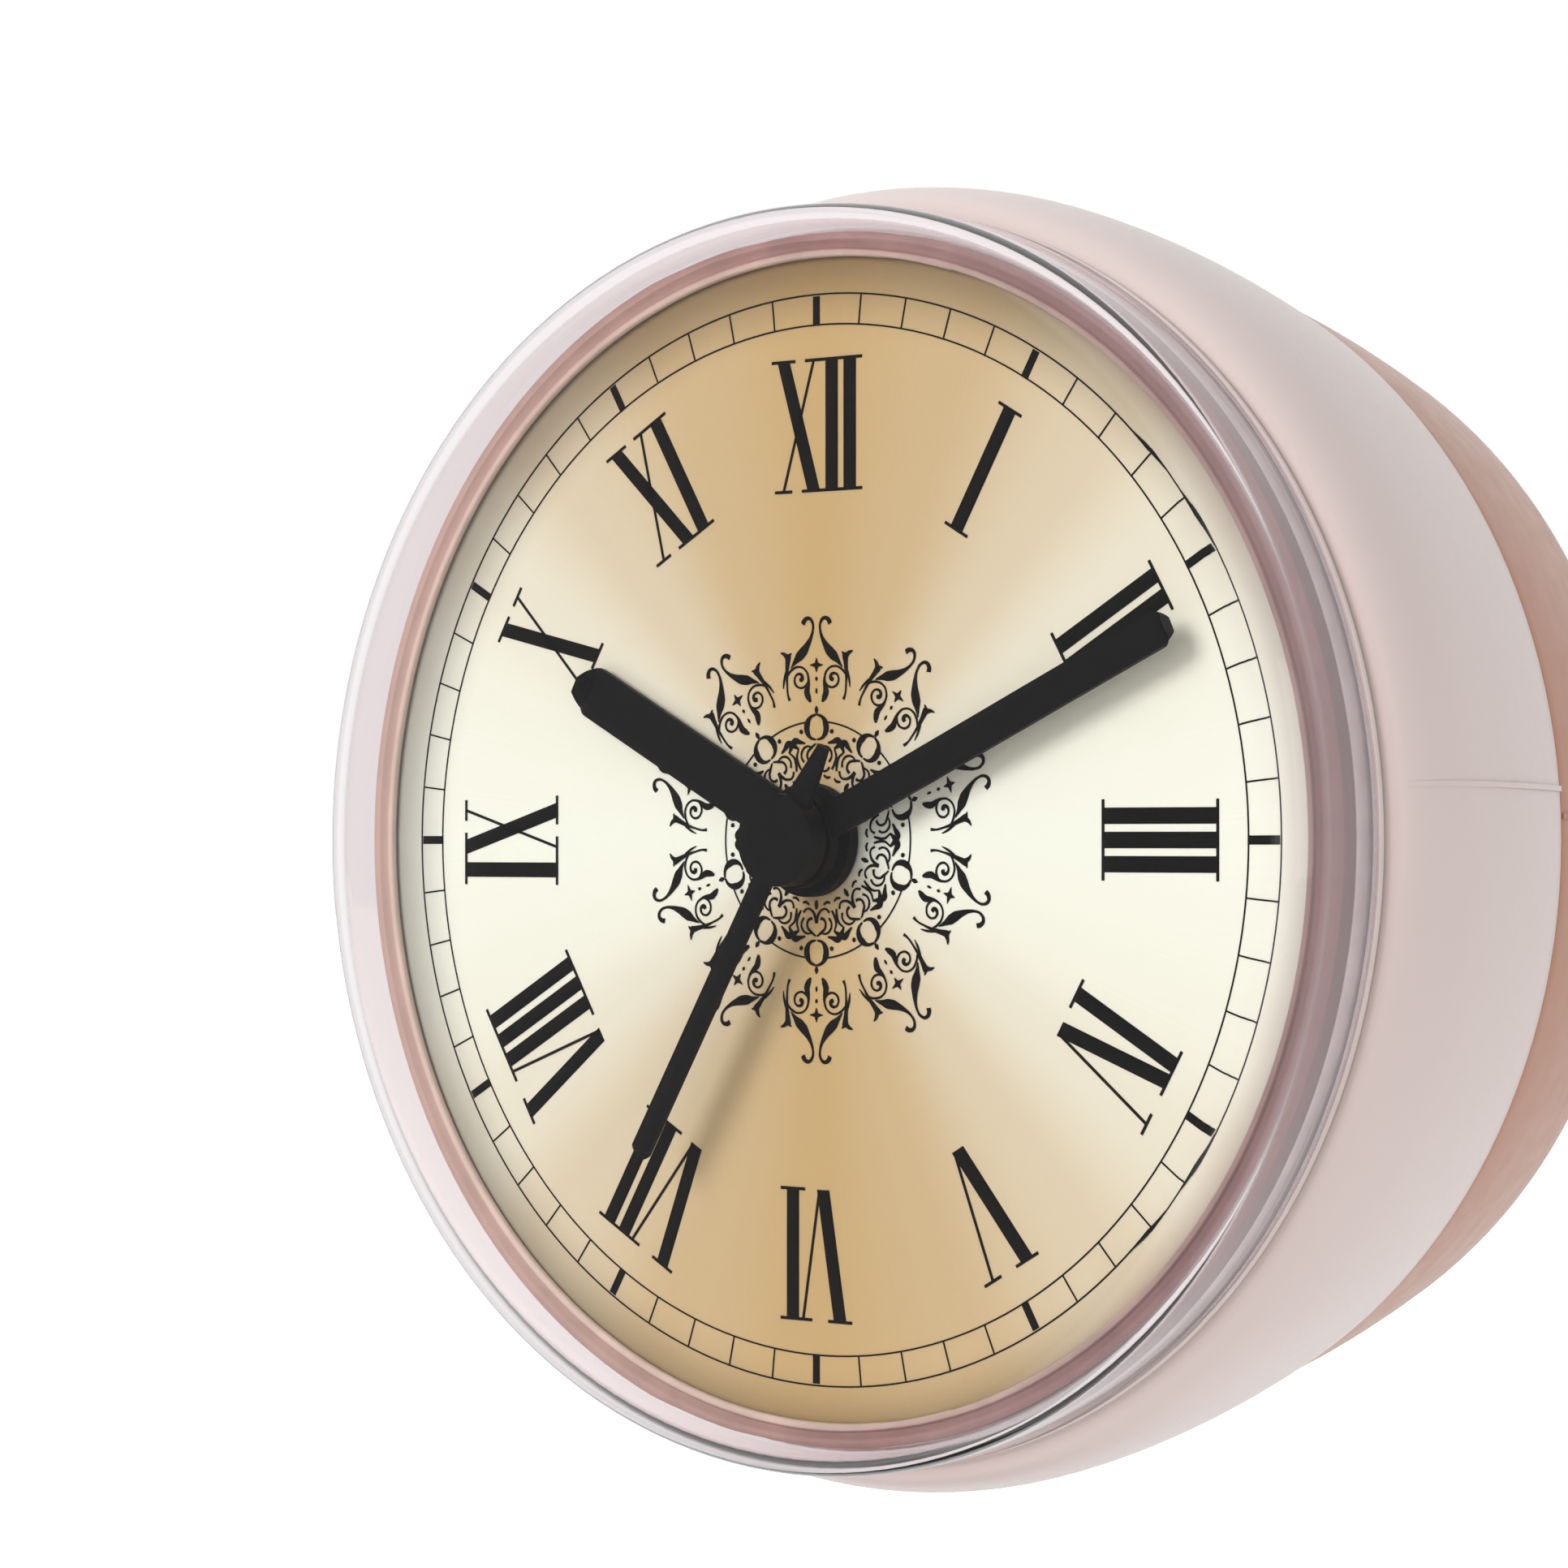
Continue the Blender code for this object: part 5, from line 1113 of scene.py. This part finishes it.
class CLOCK_OT_minute_track(bpy.types.Operator):
    """Two printed circles with a tick for each minute and a bar for each five"""

    bl_idname = "clock.minute_track"
    bl_label = "Minute track"

    def execute(self, context):
        kept = sizes()
        outer, inner = kept.track_outer / MM, kept.track_inner / MM
        line, bar = kept.track_line / MM, kept.track_bar / MM
        rise = -DIAL_RECESS + kept.ink / MM / 2
        parts = [self.circle(outer, line, rise), self.circle(inner, line, rise)]
        over = rise + TICK_ABOVE
        past_inner, short_of_outer = 0.05, 0.1
        tick = flat_bar((0, inner), (0, outer), line, over)
        thick = flat_bar((0, inner - past_inner), (0, outer - short_of_outer), bar, over)
        for minute in range(60):
            model = thick if minute % 5 == 0 else tick
            twin = copy_of(model)
            turn_about_axis(twin, FULL_TURN * minute / 60)
            parts.append(twin)
        for model in (tick, thick):
            bpy.data.objects.remove(model, do_unlink=True)
        piece = joined("minute_track", parts)
        thicken_ink(piece)
        hold(piece, pad_ink(), "case", "hand_black")
        return {"FINISHED"}

    def circle(self, radius, line, rise):
        piece = settle(added(
            bpy.ops.mesh.primitive_circle_add, vertices=240, radius=(radius - line / 2) * MM,
            location=at(0, 0, rise), rotation=UPRIGHT,
        ))
        edit(piece)
        bpy.ops.mesh.select_all(action="SELECT")
        bpy.ops.mesh.extrude_region_move()
        grow = (radius + line / 2) / (radius - line / 2)
        bpy.ops.transform.resize(value=(grow, 1, grow), center_override=at(0, 0, rise))
        bpy.ops.object.mode_set(mode="OBJECT")
        return piece


# Strokes of one petal's right half. A point is its place across and its distance from the
# centre in mm, and the stroke's weight there, which the rosette line's size turns into a width.
PETAL = (
    # stem, and the long arc that goes on from it round the curl
    ((0.4, 7.45, 0.07), (0.55, 7.7, 0.17), (0.66, 8.0, 0.19), (0.58, 8.35, 0.12), (0.56, 8.75, 0.07),
     (0.74, 9.16, 0.06), (1.2, 9.37, 0.06), (1.7, 9.22, 0.07), (2.02, 8.92, 0.06)),
    # curl with its eye
    ((0.6, 8.5, 0.06), (0.84, 8.28, 0.07), (1.18, 8.24, 0.06), (1.48, 8.46, 0.07), (1.5, 8.78, 0.06),
     (1.28, 8.98, 0.07), (1.02, 8.9, 0.1), (1.02, 8.7, 0.13), (1.18, 8.64, 0.1)),
    # leaf that ends in a hook
    ((1.78, 9.3, 0.03), (1.5, 9.62, 0.13), (1.2, 9.92, 0.27), (0.9, 10.2, 0.27), (0.6, 10.58, 0.17),
     (0.38, 10.95, 0.1), (0.25, 11.35, 0.07), (0.27, 11.72, 0.08), (0.52, 11.98, 0.1),
     (0.82, 11.88, 0.13), (0.94, 11.66, 0.14)),
    # spray between two petals
    ((1.86, 7.55, 0.09), (1.98, 7.85, 0.06), (2.04, 8.4, 0.06), (2.06, 9.0, 0.1), (2.02, 9.5, 0.14),
     (1.98, 9.95, 0.2), (1.98, 10.08, 0.08)),
    ((2.02, 9.8, 0.12), (2.2, 10.04, 0.12), (2.5, 10.16, 0.04)),
    ((1.98, 9.86, 0.1), (1.84, 10.06, 0.07), (1.72, 10.1, 0.03)),
    ((2.3, 8.2, 0.03), (2.26, 8.6, 0.07), (2.14, 9.1, 0.06)),
    # side of the small oval on the circle
    ((0.04, 5.42, 0.05), (0.4, 5.52, 0.09), (0.64, 5.86, 0.17), (0.64, 6.25, 0.19), (0.42, 6.62, 0.1),
     (0.02, 6.78, 0.06)),
    ((0.98, 5.76, 0.08), (1.06, 5.86, 0.13), (1.12, 5.96, 0.06)),
    # lace inside the circle
    ((0.78, 5.22, 0.05), (1.1, 5.28, 0.11), (1.48, 5.34, 0.2), (1.72, 5.05, 0.14), (1.9, 4.68, 0.06)),
    ((0.04, 5.2, 0.05), (0.36, 4.98, 0.08), (0.62, 4.7, 0.07), (0.56, 4.34, 0.07), (0.28, 4.22, 0.09)),
    ((0.3, 5.0, 0.05), (0.62, 5.06, 0.06), (0.94, 4.88, 0.07), (1.04, 4.5, 0.06), (0.86, 4.2, 0.07)),
    ((0.04, 4.5, 0.06), (0.1, 4.1, 0.09), (0.34, 3.8, 0.07), (0.64, 3.72, 0.06), (0.9, 3.92, 0.07)),
    ((1.24, 4.9, 0.05), (1.36, 4.5, 0.07), (1.24, 4.1, 0.08), (1.06, 3.8, 0.06)),
    ((0.5, 3.5, 0.06), (0.74, 3.36, 0.08), (0.96, 3.4, 0.05)),
)
# Strokes on a petal's middle line
MIDDLE = (
    ((-0.46, 9.45, 0.02), (-0.14, 9.45, 0.11), (0.0, 9.45, 0.22), (0.14, 9.45, 0.11),
     (0.46, 9.45, 0.02)),
    ((0.0, 9.06, 0.02), (0.0, 9.32, 0.1), (0.0, 9.45, 0.2), (0.0, 9.58, 0.1), (0.0, 9.84, 0.02)),
    ((0.0, 6.82, 0.05), (0.0, 7.04, 0.12), (0.0, 7.24, 0.03)),
    ((0.0, 8.58, 0.03), (0.0, 8.7, 0.09), (0.0, 8.82, 0.03)),
    ((0.0, 7.9, 0.03), (0.0, 8.05, 0.07), (0.0, 8.2, 0.03)),
    ((0.0, 3.25, 0.05), (0.0, 3.5, 0.12), (0.0, 3.75, 0.05)),
)
PETALS = 10
# The circle between the petals' ovals: its radius in mm, its gap at an oval, and its weight
CIRCLE_RADIUS, CIRCLE_GAP, CIRCLE_WEIGHT = 6.4, 0.11, 0.05


class CLOCK_OT_rosette(bpy.types.Operator):
    """Ten-petal scroll rosette printed round the centre"""

    bl_idname = "clock.rosette"
    bl_label = "Rosette"

    def execute(self, context):
        # The strokes' middle lies a little under the top of the other printing
        rise = -DIAL_RECESS + 0.9 * sizes().ink / MM
        petal = self.stroke_curves(rise)
        made = []
        for i in range(PETALS):
            twin = copy_of(petal)
            turn_about_axis(twin, FULL_TURN * i / PETALS)
            made.append(twin)
        bpy.data.objects.remove(petal, do_unlink=True)
        piece = settle(joined("rosette", made), smooth=60)
        hold(piece, pad_ink(), "case", "hand_black")
        return {"FINISHED"}

    def stroke_curves(self, rise):
        """One petal as curves of changing width, pressed flat on the dial."""
        curve = added(bpy.ops.curve.primitive_bezier_curve_add)
        data = curve.data
        data.splines.clear()
        data.dimensions = "3D"
        data.bevel_depth = sizes().rosette_line
        data.bevel_resolution = 1
        data.use_fill_caps = True
        data.resolution_u = 5
        strokes = list(PETAL) + [[(-x, y, w) for x, y, w in stroke] for stroke in PETAL]
        strokes += list(MIDDLE)
        first, last, steps = CIRCLE_GAP, FULL_TURN / PETALS - CIRCLE_GAP, 6
        link = []
        for i in range(steps + 1):
            y, x = polar(CIRCLE_RADIUS, first + (last - first) * i / steps)
            link.append((x, y, CIRCLE_WEIGHT))
        strokes.append(link)
        for stroke in strokes:
            spline = data.splines.new("BEZIER")
            spline.bezier_points.add(len(stroke) - 1)
            for point, (x, y, weight) in zip(spline.bezier_points, stroke):
                point.co = at(x, y, rise)
                point.handle_left_type = point.handle_right_type = "AUTO"
                point.radius = weight
        curve.location = (0, 0, 0)
        pick(curve)
        bpy.ops.object.convert(target="MESH")
        petal = bpy.context.object
        edit(petal)
        bpy.ops.mesh.select_all(action="SELECT")
        # Round strokes are pressed down to this share of their height
        pressed = 0.1
        bpy.ops.transform.resize(value=(1, pressed, 1), center_override=at(0, 0, rise))
        tidy_mesh()
        bpy.ops.object.mode_set(mode="OBJECT")
        return petal


class CLOCK_OT_inner_finishes(bpy.types.Operator):
    """Finishes of the dial, the movement and every other solid that keeps its mesh"""

    bl_idname = "clock.inner_finishes"
    bl_label = "Inner finishes"

    def execute(self, context):
        for node, finish in hidden_finishes().items():
            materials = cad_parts[node].data.materials
            if not len(materials):
                materials.append(finish)
            for i in range(len(materials)):
                materials[i] = finish
        return {"FINISHED"}


# Stage

# Brightness of the room in front of the clock, where 1 is white
ROOM_DARK = 0.13
ROOM_DIM = 0.6
ROOM_THROUGH_CAP = 0.8
# Cosine of a direction's angle to the photo's mirrored view: the room in front is dim up to the
# first and dark from the second
DIM_TO, DARK_FROM = 0.8, 0.93
# A unit direction's part along Y from which the room in front is fully reached
FRONT = -0.65
# How brightly the floor glows for each kind of ray
FLOOR_GLOW = (("Is Transmission Ray", 0.45), ("Is Diffuse Ray", 0.2), ("Is Camera Ray", 0.7))
LAMPS = (
    # name, place from the dial's centre in metres, size in metres, watts, seen in mirrors
    ("key_lamp", (-0.36, -0.85, 0.4), 0.5, 6.8, False),
    ("fill_lamp", (0.75, -0.35, 0.1), 0.5, 0.4, True),
)


def aimed(place, target):
    """The turn that makes a lamp or a camera look from a place to a target."""
    return (target - place).to_track_quat("-Z", "Y").to_euler()


class CLOCK_OT_stage(bpy.types.Operator):
    """Pale floor, soft lamps, even surroundings and the camera"""

    bl_idname = "clock.stage"
    bl_label = "Stage"

    def execute(self, context):
        scene = context.scene
        kept = scene.clock_stage
        scene.view_settings.view_transform = "Standard"
        self.floor(kept)
        self.surroundings(scene, kept)
        target = Vector((0, FACE_Y, 0))
        for lamp in LAMPS:
            self.lamp(target, *lamp)
        self.camera(scene, kept, target)
        return {"FINISHED"}

    def floor(self, kept):
        floor = added(bpy.ops.mesh.primitive_plane_add, size=6, location=(0, 0, -kept.floor_drop))
        name_piece(floor, "floor")
        made, tree, surface, place = start_finish("matte_white_card", 0.8)
        give(tree, surface, {"Base Color": linear("F4F3F1")})
        path = put(tree, "LightPath").outputs
        strength = 0.0
        for ray, amount in FLOOR_GLOW:
            strength = put(tree, "Math", (path[ray], amount, strength), operation="MULTIPLY_ADD")
        glow = put(tree, "Emission", {"Strength": strength})
        seen = put(tree, "AddShader", (surface, glow))
        # What mirrors the floor sees it as bright as the room in that direction
        room = put(tree, "Emission", {"Strength": self.mirrored_room(tree, place, kept)})
        unlit = put(tree, "Math", (path["Diffuse Depth"], 0.5), operation="LESS_THAN")
        mirrored = self.was_mirrored(tree, path)
        share = put(tree, "Math", (mirrored, unlit), operation="MULTIPLY")
        final = put(tree, "MixShader", (share, seen, room))
        give(tree, tree.nodes["Material Output"], {"Surface": final})
        dress(floor, made)

    def was_mirrored(self, tree, path):
        """1 for a ray that a glossy surface has turned back, and 0 for any other."""
        return put(tree, "Math", (path["Glossy Depth"], 0.5), operation="GREATER_THAN")

    def mirrored_room(self, tree, direction, kept):
        """How bright the room is in a mirrored direction: dark where the cap's face turns the
        photo's view, dim in the rest of the front, white behind the clock."""
        opposite = (-math.sin(kept.azimuth), -math.cos(kept.azimuth), 0.0)
        unit = put(tree, "VectorMath", {0: direction}, operation="NORMALIZE")
        towards = put(
            tree, "VectorMath", (unit, opposite), operation="DOT_PRODUCT"
        ).outputs["Value"]
        front = put(
            tree, "MapRange", (towards, DIM_TO, DARK_FROM, ROOM_DIM, ROOM_DARK),
            interpolation_type="SMOOTHSTEP",
        )
        depth = put(tree, "SeparateXYZ", {"Vector": unit}).outputs["Y"]
        return put(
            tree, "MapRange", (depth, FRONT, 0.0, front, 1.0), interpolation_type="SMOOTHSTEP"
        )

    def surroundings(self, scene, kept):
        """White behind the clock, and a dim room in front for what mirrors it."""
        world = bpy.data.worlds.new("white_room")
        scene.world = world
        world.use_nodes = True
        tree = world.node_tree
        path = put(tree, "LightPath").outputs
        direction = put(tree, "TexCoord").outputs["Generated"]
        depth = put(tree, "SeparateXYZ", {"Vector": direction}).outputs["Y"]
        through = put(
            tree, "MapRange", (depth, FRONT, 0.0, ROOM_THROUGH_CAP, 1.0),
            interpolation_type="SMOOTHSTEP",
        )
        mirrored = self.mirrored_room(tree, direction, kept)
        glossy = self.was_mirrored(tree, path)
        room = put(tree, "Mix", {"Factor": glossy, "A": through, "B": mirrored})
        soft = put(tree, "Math", (path["Diffuse Depth"], 0.5), operation="GREATER_THAN")
        lit = put(tree, "Mix", {"Factor": soft, "A": room, "B": kept.ambient})
        seen = put(tree, "Mix", {"Factor": path["Is Camera Ray"], "A": lit, "B": 1.0})
        give(tree, tree.nodes["Background"], {"Color": linear("FFFFFF"), "Strength": seen})

    def lamp(self, target, name, offset, size, power, mirrored):
        place = target + Vector(offset)
        lamp = added(
            bpy.ops.object.light_add, type="AREA", location=place, rotation=aimed(place, target)
        )
        lamp.name = lamp.data.name = name
        lamp.data.size = size
        lamp.data.energy = power
        lamp.visible_glossy = mirrored
        lamp.visible_transmission = mirrored

    def camera(self, scene, kept, target):
        flat = math.cos(kept.elevation)
        away = Vector((
            math.sin(kept.azimuth) * flat, -math.cos(kept.azimuth) * flat, math.sin(kept.elevation)
        ))
        place = target + away * kept.distance
        camera = added(bpy.ops.object.camera_add, location=place, rotation=aimed(place, target))
        camera.name = "photo_camera"
        camera.data.lens = kept.lens
        camera.data.sensor_width = 36
        camera.data.shift_x, camera.data.shift_y = kept.shift
        camera.data.clip_start = 0.01
        scene.camera = camera


# Add-on

PIECES = (
    CLOCK_OT_clear_cap,
    CLOCK_OT_seal_ring,
    CLOCK_OT_bezel,
    CLOCK_OT_barrel,
    CLOCK_OT_rear_cover,
    CLOCK_OT_suction_cup,
    CLOCK_OT_hands,
    CLOCK_OT_numerals,
    CLOCK_OT_minute_track,
    CLOCK_OT_rosette,
    CLOCK_OT_inner_finishes,
    CLOCK_OT_stage,
)


class CLOCK_PT_panel(bpy.types.Panel):
    """Sizes, colours and the pieces in the order they are made"""

    bl_idname = "CLOCK_PT_panel"
    bl_label = "Shower Clock"
    bl_space_type = "VIEW_3D"
    bl_region_type = "UI"
    bl_category = "Clock"

    def draw(self, context):
        for group in ("clock_sizes", "clock_colours", "clock_stage"):
            kept = getattr(context.scene, group)
            box = self.layout.box()
            for key in kept.__annotations__:
                box.prop(kept, key)
        column = self.layout.column(align=True)
        for piece in PIECES:
            column.operator(piece.bl_idname)


GROUPS = (
    ("clock_sizes", ClockSizes),
    ("clock_colours", ClockColours),
    ("clock_stage", StageSettings),
)


def register():
    for name, group in GROUPS:
        bpy.utils.register_class(group)
        setattr(bpy.types.Scene, name, PointerProperty(type=group))
    for piece in PIECES:
        bpy.utils.register_class(piece)
    bpy.utils.register_class(CLOCK_PT_panel)


def unregister():
    bpy.utils.unregister_class(CLOCK_PT_panel)
    for piece in reversed(PIECES):
        bpy.utils.unregister_class(piece)
    for name, group in reversed(GROUPS):
        delattr(bpy.types.Scene, name)
        bpy.utils.unregister_class(group)


def main():
    register()
    for piece in PIECES:
        group, name = piece.bl_idname.split(".")
        getattr(getattr(bpy.ops, group), name)()


if __name__ == "__main__":
    main()
